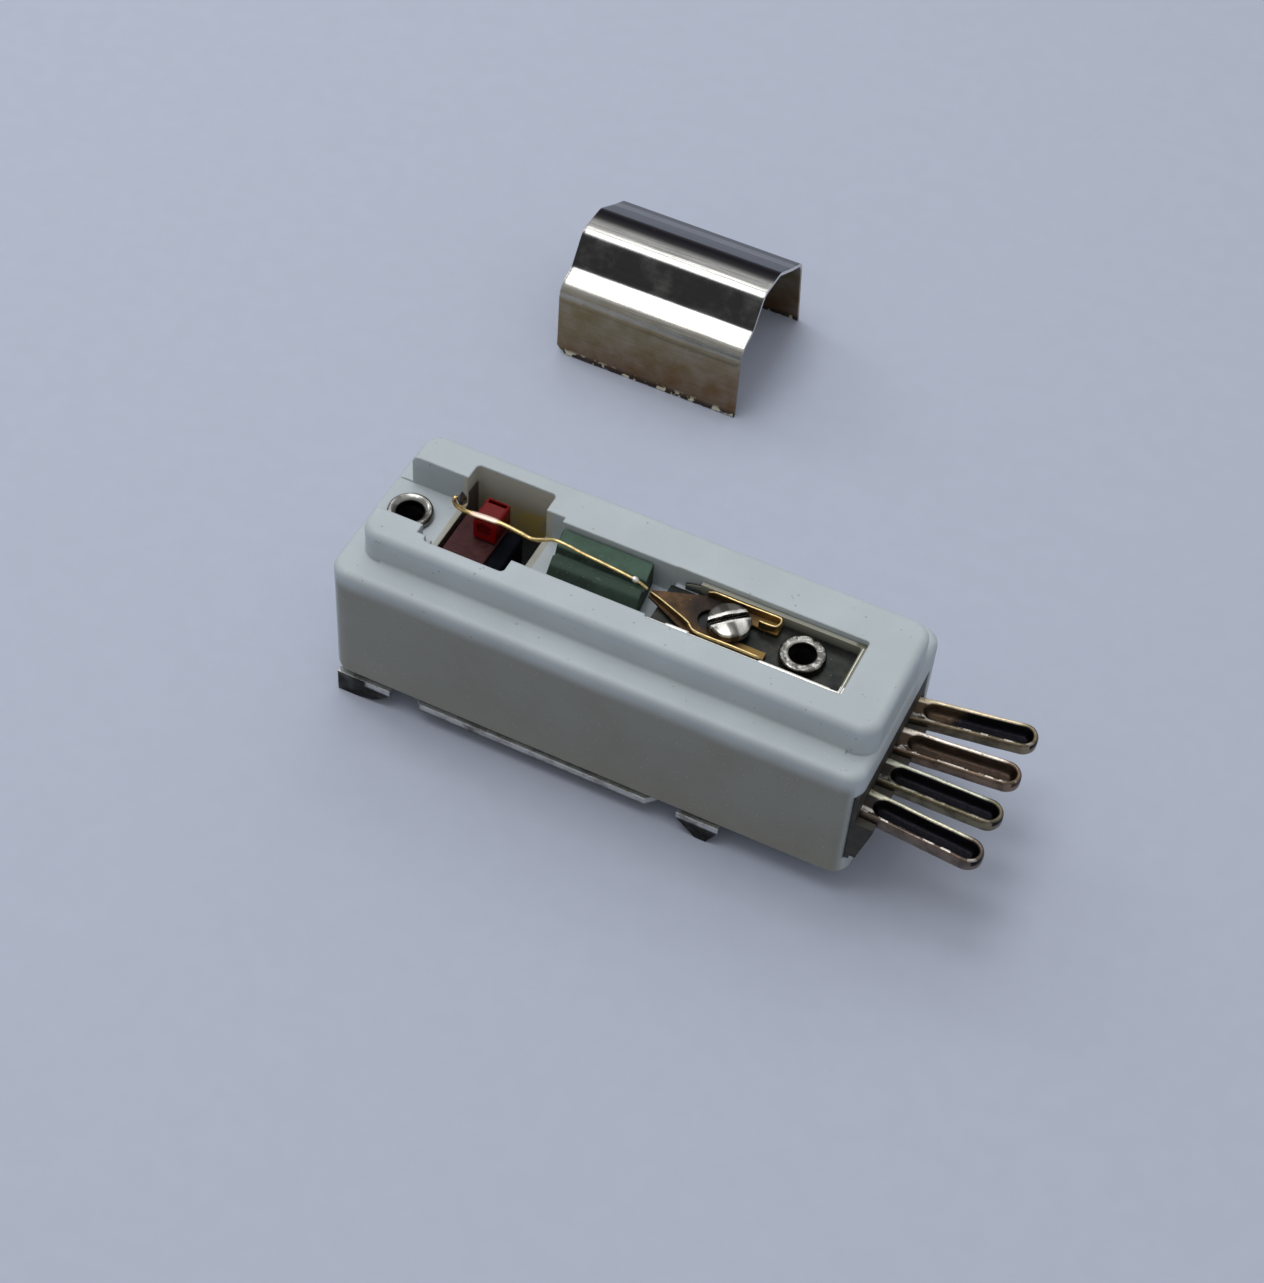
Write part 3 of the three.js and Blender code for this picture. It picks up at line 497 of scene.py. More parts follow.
def bracket_finish(colours, edge):
    """Nickel sheet: bright wings, a painted dark reflection on the ears and tabs that stops at their
    bright cut edges, fewer tarnish patches underneath.
    """
    s = Sheet("bright_nickel")
    drawn = s.noise(2.4, 4.0, 0.6, (0.4, 6, 6))
    cloud = s.noise(0.9, 5.0, 0.6)
    worn = s.edges(edge, 0.1)
    below = s.facing("Z", -0.6, -0.9)
    patches = s.between(cloud + drawn * 0.3, 0.55, 0.85) * (1 - below * 0.72)
    s.base = s.mix(patches, colours.nickel, shade(colours.tarnish, 1.6))
    # painted dark reflection: the ears and the tabs at both ends are painted near black, except along
    # their edges
    walls = 1 - s.facing_up()
    ears = s.between(s.z, 0.12, -0.02) * walls
    tabs = s.around(s.x, 0.0, 11.7, 11.9) * walls
    dark = ears.most(tabs) * s.around(s.y, 0.0, 4.4, 4.6) * (0.75 + cloud * 0.4)
    s.lay(dark.least(1.0) * (1 - worn * 0.9), Tint.EAR_DARK_REFLECTION)
    spots = s.scattered(1.9, 0.14, 0.7, 0.45, 0.6, 3.0)
    s.lay(spots * 0.6, Tint.BROWN_SPOT)
    skin = s.bump(drawn, 0.004, 0.35, s.bump(cloud, 0.03, 0.4, s.rounded(edge)))
    return s.finish(
        Metallic=1.0, Normal=skin,
        Roughness=0.24 + cloud * 0.14 + s.scratches() * 0.12 + spots * 0.2)


def tray_finish(rim):
    """Tarnished strip: a plain dark floor with small spots, painted highlights along the near and end
    rims, and painted light on the far wall and rim.
    """
    s = Sheet("dark_nickel")
    cloud = s.noise(1.1, 5.0, 0.6)
    fine = s.noise(6.0, 3.0, 0.6)
    s.base = s.mix(s.between(cloud, 0.35, 0.7), Tint.TRAY_DARK, Tint.TRAY_LIGHT)
    spots = s.scattered(2.6, 0.10, 1.0, 0.48, 0.56)
    s.lay(spots * 0.8, Tint.TRAY_SPOT)
    stain_and_reflection = s.patches(1.6, 0.6, 0.7, 4.0)
    s.lay(stain_and_reflection * 0.5, Tint.TRAY_STAIN)
    top = s.between(s.z, rim - 0.16, rim - 0.05)
    end = s.between(s.x, 10.6, 10.8)
    near = s.between(s.y, -1.4, -1.6)
    # painted highlights: the near rim is painted bright in streaks, the end rim a lighter olive
    s.lay(top * near * s.between(fine, 0.22, 0.42), Tint.TRAY_NEAR_RIM_HIGHLIGHT)
    s.lay(top * end * (1 - near), Tint.TRAY_END_RIM_HIGHLIGHT)
    # painted light: the far inner wall and far rim are painted a pale, barely metallic grey, darker
    # towards the foot
    dull = s.facing("Y", -0.4, -0.8) * s.between(s.y, 0.9, 1.0)
    dull = dull * s.between(s.z, rim - 0.6, rim - 0.45)
    dull = dull.most(top * (1 - near) * (1 - end))
    wall = s.mix(s.between(s.z, rim - 0.5, rim), Tint.TRAY_FAR_LIGHT_FOOT, Tint.TRAY_FAR_LIGHT_TOP)
    s.lay(dull, wall)
    skin = s.bump(fine, 0.004, 0.4, s.bump(cloud, 0.02, 0.4, s.rounded(0.05)))
    return s.finish(
        Metallic=1 - dull * 0.9, Normal=skin,
        Roughness=0.34 + fine * 0.16 + spots * 0.2)


def gold_finish(name, colours, with_glint=False):
    """Gold plate: bright, faintly brown in patches, with painted shade on the near faces of the rims
    and a painted pinkish highlight on the flattened wire.
    """
    s = Sheet(name)
    cloud = s.noise(1.8, 5.0, 0.6)
    s.base = s.mix(s.patches(3.0, 0.4, 0.7), colours.gold, shade(colours.gold, 0.72))
    s.lay(s.between(cloud, 0.55, 0.75) * 0.7, colours.gold_film_and_shade)
    rough = 0.3 + cloud * 0.14
    # painted shade: the near faces of the rims are painted brown below their top edge
    side = s.facing("Y", -0.5, -0.9) * s.between(s.z, 9.4, 9.3)
    s.lay(side * (0.0 if with_glint else 0.75), shade(colours.gold_film_and_shade, 0.8))
    if with_glint:
        # painted highlight: the flattened top of the wire is painted pinkish white
        wire_glint = s.around(s.x, FLAT_OF_WIRE, 0.8, 0.55)
        s.lay(wire_glint * s.facing_up(), Tint.WIRE_PAINTED_GLINT)
        rough = rough + wire_glint * 0.1
    skin = s.bump(s.noise(6.0, 3.0, 0.6), 0.008, 0.4, s.rounded(0.03))
    return s.finish(Metallic=1.0, Roughness=rough, Normal=skin)


def shoe_floor_finish():
    """The brown floor of the shoe: painted shade over the gold, with dark clouds, darkest in the
    middle, lighter at the arms, and painted glints.
    """
    s = Sheet("gold_plate")
    cloud = s.noise(1.5, 5.0, 0.65)
    fine = s.noise(5.0, 3.0, 0.6)
    # painted shade: the floor is painted brown with dark clouds, darkest around the middle and lighter
    # towards the arms
    s.base = s.mix(s.between(cloud, 0.35, 0.65), Tint.SHOE_BROWN, Tint.SHOE_DEEP)
    dark = s.between(((s.x - 3.9) ** 2.0 + (s.y - 0.1) ** 2.0) + cloud * 2.0, 3.4, 1.4)
    s.lay(dark * 0.85, Tint.SHOE_PAINTED_SHADE)
    arms = s.between(s.x + cloud * 0.8, 5.8, 6.9)
    s.lay(arms * 0.8, Tint.SHOE_ARM)
    # painted glints
    painted_glints = s.between(fine, 0.64, 0.72)
    s.lay(painted_glints * 0.5, Tint.SHOE_PAINTED_GLINT)
    skin = s.bump(cloud, 0.03, 0.5, s.bump(fine, 0.008, 0.4, s.rounded(0.04)))
    return s.finish(Metallic=0.7, Roughness=0.42 + cloud * 0.2, Normal=skin)


def screw_finish(colours, centre, turn, top):
    """Nickel plate: painted highlights in two bands and along the slot's edges, painted shade in the
    slot and over the far half, and tarnish.
    """
    s = Sheet("screw_nickel")
    cloud = s.noise(1.6, 4.0, 0.6)
    fine = s.noise(6.0, 3.0, 0.6, (0.5, 3, 3))
    across = (s.y - centre.y) * math.cos(turn) - (s.x - centre.x) * math.sin(turn)
    along = (s.x - centre.x) * math.cos(turn) + (s.y - centre.y) * math.sin(turn)
    # painted highlights: two bands across the head and the slot's edges are painted bright on a dull
    # base
    painted_bands = s.around(along, -0.5, 0.32, 0.12).most(s.around(along, 0.42, 0.36, 0.16))
    painted_ridges = s.around(across, 0.30, 0.13, 0.07).most(s.around(across, -0.20, 0.10, 0.05) * 0.6)
    s.base = s.mix(painted_bands.most(painted_ridges), Tint.SCREW_DULL, shade(colours.nickel, 1.05))
    s.lay(s.between(cloud, 0.6, 0.8) * 0.6, colours.tarnish)
    # painted shade in the slot and over the far half
    slot = s.around(across, 0.03, 0.2, 0.15) * s.between(s.z, top - 0.15, top - 0.2)
    far = s.between(across + cloud * 0.3, 0.5, 0.62)
    s.lay(far * 0.85, Tint.SCREW_FAR_SHADE)
    s.lay(slot, Tint.SCREW_SLOT_SHADE)
    s.lay(s.specks(3.0, 0.12) * 0.5, colours.tarnish)
    skin = s.bump(fine, 0.004, 0.35, s.bump(cloud, 0.02, 0.4, s.rounded(0.04)))
    return s.finish(Metallic=1.0, Roughness=0.2 + fine * 0.12 + far * 0.2, Normal=skin)


def damper_finish(colours):
    """Soft rubber, sage green, milky on top, with painted shade on the cut sides and the near half,
    and fine pores.
    """
    s = Sheet("green_damper")
    cloud = s.noise(1.1, 4.0)
    pores = s.specks(7.0, 0.22)
    # painted shade: the sides are painted dark and the near half of the top darker
    top = s.facing("Z", 0.55, 0.9)
    near = s.between(s.y, 0.0, -0.5)
    lit = s.mix(near, shade(colours.damper, 1.05), shade(colours.damper, 0.5))
    s.base = s.mix(top, shade(colours.damper, 0.24), lit)
    s.lay(s.between(cloud, 0.35, 0.7) * 0.5, shade(colours.damper, 0.62))
    s.lay(s.edges(0.1, 0.2) * 0.3, shade(colours.damper, 1.6))
    s.lay(pores * 0.3, shade(colours.damper, 0.35))
    lint = s.between(s.noise(2.6, 3.0, 0.6, (0.6, 1.4, 1.4)), 0.63, 0.7)
    s.lay(lint * 0.3, Tint.PAD_LINT)
    s.lay(s.specks(3.7, 0.1) * 0.4, Tint.PAD_GRAIN)
    skin = s.bump(pores, 0.012, 0.4, s.bump(s.noise(3.0, 4.0), 0.03, 0.5))
    return s.finish(
        Roughness=0.66 + cloud * 0.2, Normal=skin, Specular_IOR_Level=0.35,
        Subsurface_Weight=0.1, Subsurface_Radius=(0.7, 1.0, 0.8), Subsurface_Scale=0.3 * MM)


def saddle_finish(colours):
    """Bright red plastic, glossy, with painted shade towards its foot, in the disc on its near face
    and in the slit, and painted light on the near face.
    """
    s = Sheet("red_resin")
    cloud = s.noise(1.9, 3.0)
    # painted shade: darker towards the foot, down in the well
    s.base = s.mix(s.between(s.z, 8.2, 9.25), shade(colours.saddle, 0.4), colours.saddle)
    s.lay(s.between(cloud, 0.45, 0.7) * 0.2, Tint.SADDLE_CLOUD)
    # painted light: the near face is painted a lighter, stronger red
    face = s.facing("Y", -0.3, -0.8)
    s.lay(face * 0.8, Tint.SADDLE_FACE_LIGHT)
    # painted shade in the round recess
    far = (s.x - DISC.x) ** 2.0 + (s.z - DISC.z) ** 2.0
    disc = s.between(far, 0.175, 0.14) * s.between(s.y, -0.1, -0.2)
    s.lay(disc, Tint.SADDLE_DISC_SHADE)
    # painted shade in the slit
    slit = s.between(s.y, 0.84, 0.9) * s.between(s.z, 9.27, 9.18) * s.around(s.x, -7.9, 0.5, 0.44)
    s.lay(slit * 0.85, Tint.SADDLE_SLIT_SHADE)
    skin = s.bump(s.noise(4.0, 3.0), 0.015, 0.4, s.rounded(0.05))
    return s.finish(
        Roughness=0.22 + cloud * 0.15, Normal=skin,
        Subsurface_Weight=0.25, Subsurface_Radius=(1.0, 0.12, 0.08), Subsurface_Scale=0.4 * MM,
        Specular_IOR_Level=0.12, Coat_Weight=0.03, Coat_Roughness=0.15)


def yoke_finish(colours):
    """Dark red plastic under a thin grey brown layer of dust on its top."""
    s = Sheet("dark_red_resin")
    cloud = s.noise(2.2, 5.0, 0.65)
    s.base = s.mix(s.between(cloud, 0.3, 0.7), shade(colours.yoke, 0.8), shade(colours.yoke, 1.4))
    dust = s.facing_up() * s.between(cloud + s.noise(6.0, 2.0) * 0.3, 0.5, 0.9)
    s.lay(dust * 0.5, Tint.YOKE_DUST)
    s.lay(s.edges(0.1, 0.2) * 0.3, Tint.YOKE_EDGE)
    skin = s.bump(cloud, 0.03, 0.5, s.bump(s.noise(9.0, 2.0), 0.008, 0.5))
    return s.finish(Roughness=0.55 + dust * 0.25, Normal=skin, Specular_IOR_Level=0.2)


def rubber_finish(name, colours):
    """Blue black rubber, faintly glossy, with lint."""
    s = Sheet(name)
    cloud = s.noise(1.6, 4.0)
    s.base = s.mix(s.between(cloud, 0.4, 0.7), colours.rubber, shade(colours.rubber, 2.4))
    lint = s.scattered(4.5, 0.09, 1.0, 0.5, 0.6)
    s.lay(lint * 0.4, Tint.RUBBER_LINT)
    s.lay(s.edges(0.12, 0.2) * 0.3, Tint.RUBBER_EDGE)
    skin = s.bump(s.noise(5.0, 4.0), 0.02, 0.5)
    return s.finish(Roughness=0.5 + cloud * 0.25, Normal=skin, Specular_IOR_Level=0.05)


def terminal_finish(name, look, top, line):
    """Plated terminal metal: a tarnished side, painted shade in the trough that turns black towards
    the tip, and painted highlights and shade on the rims.
    """
    s = Sheet(name)
    cloud = s.noise(1.3, 5.0, 0.62)
    fine = s.noise(4.5, 4.0, 0.65)
    root, slope, start = line
    across = s.y - (root + (s.x - start) * slope)
    s.base = s.mix(s.between(cloud, 0.35, 0.68), look["side"], shade(look["side"], 0.5))
    # painted shade: the trough is painted in a dark colour
    trough = s.between(s.z, top - 0.03, top - 0.1) * s.around(across, 0.0, 0.62, 0.56)
    trough = trough * s.facing("Z", 0.0, 0.1)
    s.lay(trough, look["wall"])
    # painted shade carried onto the flat top at the root
    root_top = s.between(s.x + cloud * 0.4, 14.5, 14.2) * s.around(across, 0.0, 0.66, 0.5)
    s.lay(root_top * s.facing_up() * 0.85, look["wall"])
    # painted shade: the trough turns near black beyond a place along the pin
    black_from = s.between(s.x + cloud * 2.2, look["black_from"], look["black_from"] + 1.0)
    s.lay(trough * black_from, Tint.TROUGH_BLACK_SHADE)
    rim = s.between(s.z, top - 0.09, top - 0.03)
    # painted highlight: a bright streak along the far rim
    far = rim * s.between(across, 0.3, 0.42)
    far = far * s.between(s.x, 12.5, 13.5) * s.between(s.x, 18.9, 18.2)
    s.lay(far * s.between(fine, 0.25, 0.45), look["far"])
    # painted shade on the near rim, with painted highlights in patches
    near = rim * s.between(across, -0.3, -0.42) * s.between(across, -0.68, -0.6)
    s.lay(near * 0.85, shade(look["side"], 0.3))
    s.lay(near * s.patches(1.9, 0.5, 0.54, 4.0) * look["rim_glint"], Tint.RIM_PAINTED_GLINT)
    # painted shade on the rims at the tip
    s.lay(rim * s.between(s.x, 18.6, 19.0) * 0.6, shade(look["side"], 0.5))
    skin = s.bump(fine, 0.03, 0.55, s.bump(cloud, 0.08, 0.6, s.rounded(0.04)))
    return s.finish(Metallic=0.9, Roughness=0.26 + fine * 0.26, Normal=skin)


def clip_finish(colours):
    """Polished nickel sheet, drawn along its length, with a painted warm reflection on the flanges and
    painted dark reflections on the far slopes and the valley wall.
    """
    s = Sheet("clip_nickel")
    drawn = s.noise(3.0, 4.0, 0.6, (0.12, 5, 5))
    cloud = s.noise(0.55, 5.0, 0.6)
    low = s.between(s.z, 4.4, 2.6)
    # painted reflection: warm brown on the lower flanges, browner lower down; it is also made rougher,
    # like a stain
    stain_and_reflection = (low * (0.6 + cloud * 0.6)).least(1.0)
    s.base = s.mix(
        s.between(cloud, 0.4, 0.75) * 0.5, shade(colours.nickel, 1.08), shade(colours.nickel, 0.75))
    s.lay(s.between(drawn, 0.42, 0.62) * 0.45, shade(colours.nickel, 0.4))
    brown = s.mix(s.between(s.z - s.x * 0.15 + cloud, 4.6, 1.2), Tint.REFLECTION_HIGH, Tint.REFLECTION_LOW)
    s.lay(stain_and_reflection, brown)
    # painted dark reflection on the faces that slope away, lighter in one band
    away = s.facing("Y", -0.02, 0.08) * s.facing("Z", 0.0, 0.2) * s.between(s.y, 25.2, 25.8)
    band = s.around(s.y, 28.6, 0.5, 0.3)
    s.lay(away * (1 - band * 0.3), Tint.CLIP_AWAY_REFLECTION)
    # painted dark reflection on the steep near wall of the valley
    valley = s.facing("Y", -0.4, -0.65) * s.between(s.z, 3.9, 4.2)
    s.lay(valley * (0.95 - s.between(cloud, 0.45, 0.75) * 0.2), Tint.CLIP_VALLEY_REFLECTION)
    spots = s.scattered(1.7, 0.09, 0.8, 0.5, 0.58)
    s.lay(spots * 0.8, Tint.BROWN_SPOT)
    burr = s.between(s.z, -0.4, -0.75)
    s.lay(burr * 0.8, Tint.BURR_DARK)
    s.lay(burr * s.patches(2.2, 0.56, 0.6), Tint.BURR_BRIGHT)
    scratch = s.between(s.noise(4.0, 2.0, 0.5, (0.5, 2.2, 1.4)), 0.64, 0.68)
    skin = s.bump(drawn, 0.005, 0.4, s.bump(cloud, 0.05, 0.3))
    return s.finish(
        Metallic=1.0, Normal=skin,
        Roughness=0.17 + drawn * 0.06 + stain_and_reflection * 0.14 + scratch * 0.05 + spots * 0.3)


def jewel_finish():
    """A dark brown jewel: polished, with paler veins inside."""
    s = Sheet("jewel")
    vein = s.noise(3.5, 4.0)
    s.base = s.mix(s.between(vein, 0.45, 0.7), Tint.JEWEL_DARK, Tint.JEWEL_VEIN)
    skin = s.bump(s.noise(5.0, 2.0), 0.004, 0.3)
    return s.finish(Roughness=0.12 + vein * 0.08, Normal=skin, IOR=1.6)


def ceramic_finish(colours):
    """Fired ceramic with silvered electrode faces that stop short of the edges."""
    s = Sheet("grey_ceramic")
    grain = s.noise(6.0, 4.0)
    s.base = s.mix(
        s.between(grain, 0.35, 0.7), shade(colours.ceramic, 0.85), shade(colours.ceramic, 1.2))
    silver = s.around(s.z, 4.05, 0.72, 0.66) * s.around(s.x, 0.0, 5.9, 5.8)
    s.lay(silver * 0.8, Tint.SILVER)
    return s.finish(
        Roughness=0.7 - silver * 0.3, Metallic=silver * 0.6, Normal=s.bump(grain, 0.01, 0.5))


def resin_finish(colours):
    """Grey brown filled resin with pale mica flecks, lighter on its upward faces."""
    s = Sheet("brown_resin")
    cloud = s.noise(0.9, 5.0)
    s.base = s.mix(
        s.between(cloud, 0.35, 0.7), shade(colours.resin, 0.7), shade(colours.resin, 1.7))
    flecks = s.specks(5.0, 0.13)
    s.lay(flecks * 0.4, Tint.RESIN_FLECK)
    # lighter on every upward face
    s.lay(s.facing_up() * 0.25, Tint.RESIN_UPWARD)
    return s.finish(
        Roughness=0.55 + cloud * 0.2,
        Normal=s.bump(s.noise(4.0, 4.0), 0.02, 0.5, s.bump(cloud, 0.05, 0.4)))


def turned_finish(name, colour, dark):
    """Turned or drawn soft metal with tool lines and a dull film."""
    s = Sheet(name)
    lines = s.noise(3.0, 3.0, 0.6, (1, 1, 9))
    cloud = s.noise(1.5, 4.0)
    s.base = s.mix(s.between(cloud, 0.4, 0.75), colour, dark)
    return s.finish(
        Metallic=1.0, Roughness=0.28 + cloud * 0.25, Normal=s.bump(lines, 0.008, 0.5))


def corner_of(node):
    """Lowest and highest corner of a node, in millimetres."""
    low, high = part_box(node)
    return Vector(low) / MM, Vector(high) / MM


def add_object(name, data):
    """Makes an object from its data and links it to the scene."""
    made = bpy.data.objects.new(name, data)
    bpy.context.scene.collection.objects.link(made)
    return made


def closed_mesh(name, shape):
    """A mesh from a shape's points in millimetres and its faces, which are all turned outwards."""
    points, faces = shape
    mesh = bpy.data.meshes.new(name)
    mesh.from_pydata([tuple(Vector(p) * MM) for p in points], [], faces)
    mesh.validate()
    work = bmesh.new()
    work.from_mesh(mesh)
    bmesh.ops.recalc_face_normals(work, faces=work.faces)
    work.to_mesh(mesh)
    work.free()
    return mesh


def mesh_piece(name, shape, material, body, stands_for=(), smooth=True):
    """Makes a piece from its points and faces, finishes it and lets it ride on its body."""
    mesh = closed_mesh(name, shape)
    piece = add_object(name, mesh)
    mesh.polygons.foreach_set("use_smooth", [smooth] * len(mesh.polygons))
    mesh.materials.append(material)
    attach(piece, body)
    if stands_for:
        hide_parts(*stands_for)
    return piece


def soften(piece, width, angle=35.0, segments=2):
    """Rounds the edges of a piece or kept node with a Bevel modifier and evens its shading."""
    bevel = piece.modifiers.new("Rounded edges", "BEVEL")
    bevel.width = width
    bevel.segments = segments
    bevel.limit_method = "ANGLE"
    bevel.angle_limit = math.radians(angle)
    even_shading(piece, keep_sharp=False)


def even_shading(piece, keep_sharp):
    """Lets the large faces set the shading of the edges beside them."""
    weighted = piece.modifiers.new("Even shading", "WEIGHTED_NORMAL")
    weighted.keep_sharp = keep_sharp
    weighted.weight = 60


def dress(node, material):
    """Gives a kept node its finish, welds it, merges its flats and shades it smooth."""
    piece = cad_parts[node]
    for place in piece.material_slots:
        place.material = material
    weld = piece.modifiers.new("Weld", "WELD")
    weld.merge_threshold = 0.002 * MM
    flats = piece.modifiers.new("Flats", "DECIMATE")
    flats.decimate_type = "DISSOLVE"
    flats.angle_limit = math.radians(1.5)
    piece.data.polygons.foreach_set("use_smooth", [True] * len(piece.data.polygons))
    return piece


def crisp(piece, angle=32.0):
    """Parts the faces along sharp edges and evens the shading of the rest."""
    split = piece.modifiers.new("Sharp edges", "EDGE_SPLIT")
    split.split_angle = math.radians(angle)
    even_shading(piece, keep_sharp=True)


def circle(sides):
    """Cosine and sine of even steps round a circle."""
    return [(math.cos(TURN * k / sides), math.sin(TURN * k / sides)) for k in range(sides)]


def rings_mesh(rings, loop=False):
    """Joins rings of points, one after another, into a closed skin. A loop has no end faces."""
    count, last = len(rings[0]), len(rings) - 1
    points = [p for ring in rings for p in ring]
    faces = []
    for a in range(last + loop):
        b = (a + 1) % len(rings)
        for k in range(count):
            n = (k + 1) % count
            faces.append((a * count + k, a * count + n, b * count + n, b * count + k))
    if not loop:
        faces.append(tuple(range(count))[::-1])
        faces.append(tuple(last * count + k for k in range(count)))
    return points, faces


def lathe_mesh(profile, centre, sides, warp=None):
    """Turns a closed profile of radius and height about an upright axis."""
    rings = []
    for k in range(sides):
        angle = TURN * k / sides
        ring = []
        for r, z in profile:
            if warp:
                r, z = warp(r, z, angle)
            ring.append((centre[0] + r * math.cos(angle), centre[1] + r * math.sin(angle), z))
        rings.append(ring)
    return rings_mesh(rings, loop=True)


def smooth_path(points, steps):
    """Even points along a curve through the given ones."""
    points = [Vector(p) for p in points]
    padded = [points[0] * 2 - points[1]] + points + [points[-1] * 2 - points[-2]]
    path = []
    for i in range(1, len(padded) - 2):
        a, b, c, d = padded[i - 1:i + 3]
        for k in range(steps):
            t = k / steps
            path.append(
                (b * 2 + (c - a) * t + (a * 2 - b * 5 + c * 4 - d) * t ** 2
                 + (b * 3 - a - c * 3 + d) * t ** 3) * 0.5)
    path.append(points[-1])
    return path


def tube_mesh(path, size, sides, tip_rings=4):
    """Carries an oval along a path and rounds both of its ends. Its width and height may change."""
    stations = []
    for i, point in enumerate(path):
        ahead = (path[min(i + 1, len(path) - 1)] - path[max(i - 1, 0)]).normalized()
        stations.append((point, ahead, -1 if i == 0 else int(i == len(path) - 1)))
    rings, before = [], None
    for point, ahead, end in stations:
        levels = [0.0] if end == 0 else [TURN / 4 * k / tip_rings for k in range(tip_rings)]
        for level in (levels[::-1] if end < 0 else levels):
            across = Vector((0, 1, 0)) if abs(ahead.z) > 0.9 else Vector((-ahead.y, ahead.x, 0))
            side = (across - ahead * across.dot(ahead)).normalized()
            if before and side.dot(before) < 0:
                side = -side
            before = side
            up = ahead.cross(side)
            shrink = math.cos(level)
            width, height = size(point)
            middle = point + ahead * end * (math.sin(level) - 1) * height / 2
            rings.append([middle + side * c * width / 2 * shrink + up * s * height / 2 * shrink
                          for c, s in circle(sides)])
    return rings_mesh(rings)


def spaced(low, high, edge, inner):
    """Places from low to high that lie close together near both ends."""
    near = [low, low + edge * 0.25, low + edge * 0.6, low + edge]
    far = [high - edge, high - edge * 0.6, high - edge * 0.25, high]
    middle = [low + edge + (high - low - 2 * edge) * k / (inner + 1) for k in range(1, inner + 1)]
    return near + middle + far


def soft_block(low, high, edge, inner, shape=None):
    """A box with rounded edges and an even net of points, passed through a shaping function."""
    axes = [spaced(low[a], high[a], edge, inner[a]) for a in range(3)]
    points, faces, known = [], [], {}

    def point(i, j, k):
        key = (i, j, k)
        if key not in known:
            raw = Vector((axes[0][i], axes[1][j], axes[2][k]))
            core = Vector([min(max(raw[a], low[a] + edge), high[a] - edge) for a in range(3)])
            out = raw - core
            if out.length > 1e-9:
                raw = core + out.normalized() * edge * min(1.0, max(abs(c) for c in out) / edge)
            known[key] = len(points)
            points.append(shape(raw) if shape else raw)
        return known[key]

    counts = [len(a) - 1 for a in axes]
    for fixed in range(3):
        u, v = [a for a in range(3) if a != fixed]
        for side in (0, counts[fixed]):
            for i in range(counts[u]):
                for j in range(counts[v]):
                    corners = []
                    for di, dj in ((0, 0), (1, 0), (1, 1), (0, 1)):
                        key = [0, 0, 0]
                        key[fixed], key[u], key[v] = side, i + di, j + dj
                        corners.append(point(*key))
                    faces.append(tuple(corners))
    return points, faces


def plain_block(low, high):
    """A box as points and faces, used to cut with."""
    faces = [(0, 1, 3, 2), (4, 6, 7, 5), (0, 4, 5, 1), (2, 3, 7, 6), (0, 2, 6, 4), (1, 5, 7, 3)]
    return list(itertools.product(*zip(low, high))), faces


def carve(piece, shape):
    """Cuts a shape out of a piece and keeps the result as the piece's mesh."""
    mesh = closed_mesh("cutter", shape)
    cutter = add_object("cutter", mesh)
    cut = piece.modifiers.new("Cut", "BOOLEAN")
    cut.operation = "DIFFERENCE"
    cut.solver = "EXACT"
    cut.object = cutter
    bpy.context.view_layer.update()
    graph = bpy.context.evaluated_depsgraph_get()
    ready = bpy.data.meshes.new_from_object(piece.evaluated_get(graph))
    piece.modifiers.remove(cut)
    old = piece.data
    piece.data = ready
    bpy.data.objects.remove(cutter)
    bpy.data.meshes.remove(mesh)
    bpy.data.meshes.remove(old)


def turned(shape, centre, angle):
    """A shape turned about an upright line."""
    points, faces = shape
    turn = Matrix.Rotation(angle, 3, "Z")
    middle = Vector(centre)
    return [turn @ (Vector(p) - middle) + middle for p in points], faces


def sheet_mesh(plan, low, high, edge):
    """A flat sheet with the given plan and softened upper and lower edges."""
    count = len(plan)
    rings = []
    for inset, z in ((edge, low), (0.0, low + edge), (0.0, high - edge), (edge, high)):
        ring = []
        for k in range(count):
            here = Vector(plan[k])
            before = (here - Vector(plan[k - 1])).normalized()
            after = (Vector(plan[(k + 1) % count]) - here).normalized()
            side = Vector((-before.y - after.y, before.x + after.x))
            if side.length > 1e-6:
                here = here + side.normalized() * inset
            ring.append((here.x, here.y, z))
        rings.append(ring)
    return rings_mesh(rings)


def fold_mesh(path, thickness, foot, top):
    """An upright wall of sheet along a path, rounded over its upper edge. The top may change."""
    half = thickness / 2
    points = smooth_path([(x, y, 0) for x, y in path], 6)
    rings = []
    for i, point in enumerate(points):
        ahead = (points[min(i + 1, len(points) - 1)] - points[max(i - 1, 0)]).normalized()
        side = Vector((-ahead.y, ahead.x, 0)) * half
        high = top(i / (len(points) - 1))
        bends = [math.pi * k / 6 for k in range(1, 6)]
        outline = [(-1, foot), (-1, high - half)]
        outline += [(-math.cos(bend), high - half + half * math.sin(bend)) for bend in bends]
        outline += [(1, high - half), (1, foot)]
        rings.append([point + side * out + Vector((0, 0, z)) for out, z in outline])
    return rings_mesh(rings)


JITTER_PLACES = ((0.0, 0.0, 0.0), (31.7, 11.3, 5.9), (7.1, 43.9, 19.3))


def jitter(place, waves, depth):
    """A small smooth offset that depends on the place alone, and so is the same in each run."""
    at = Vector(place) * waves
    return Vector([noise.noise(at + Vector(apart)) for apart in JITTER_PLACES]) * depth


class CARTRIDGE_OT_moulded_body(bpy.types.Operator):
    """Dress the moulded body: soft edges and dusty hollows"""

    bl_idname = "cartridge.moulded_body"
    bl_label = "Moulded Body"

    def execute(self, context):
        scene = context.scene
        finish = moulding_finish(scene.cartridge_colours, scene.cartridge_sizes.moulded_edge / MM)
        crisp(dress("body_shell", finish))
        return {"FINISHED"}


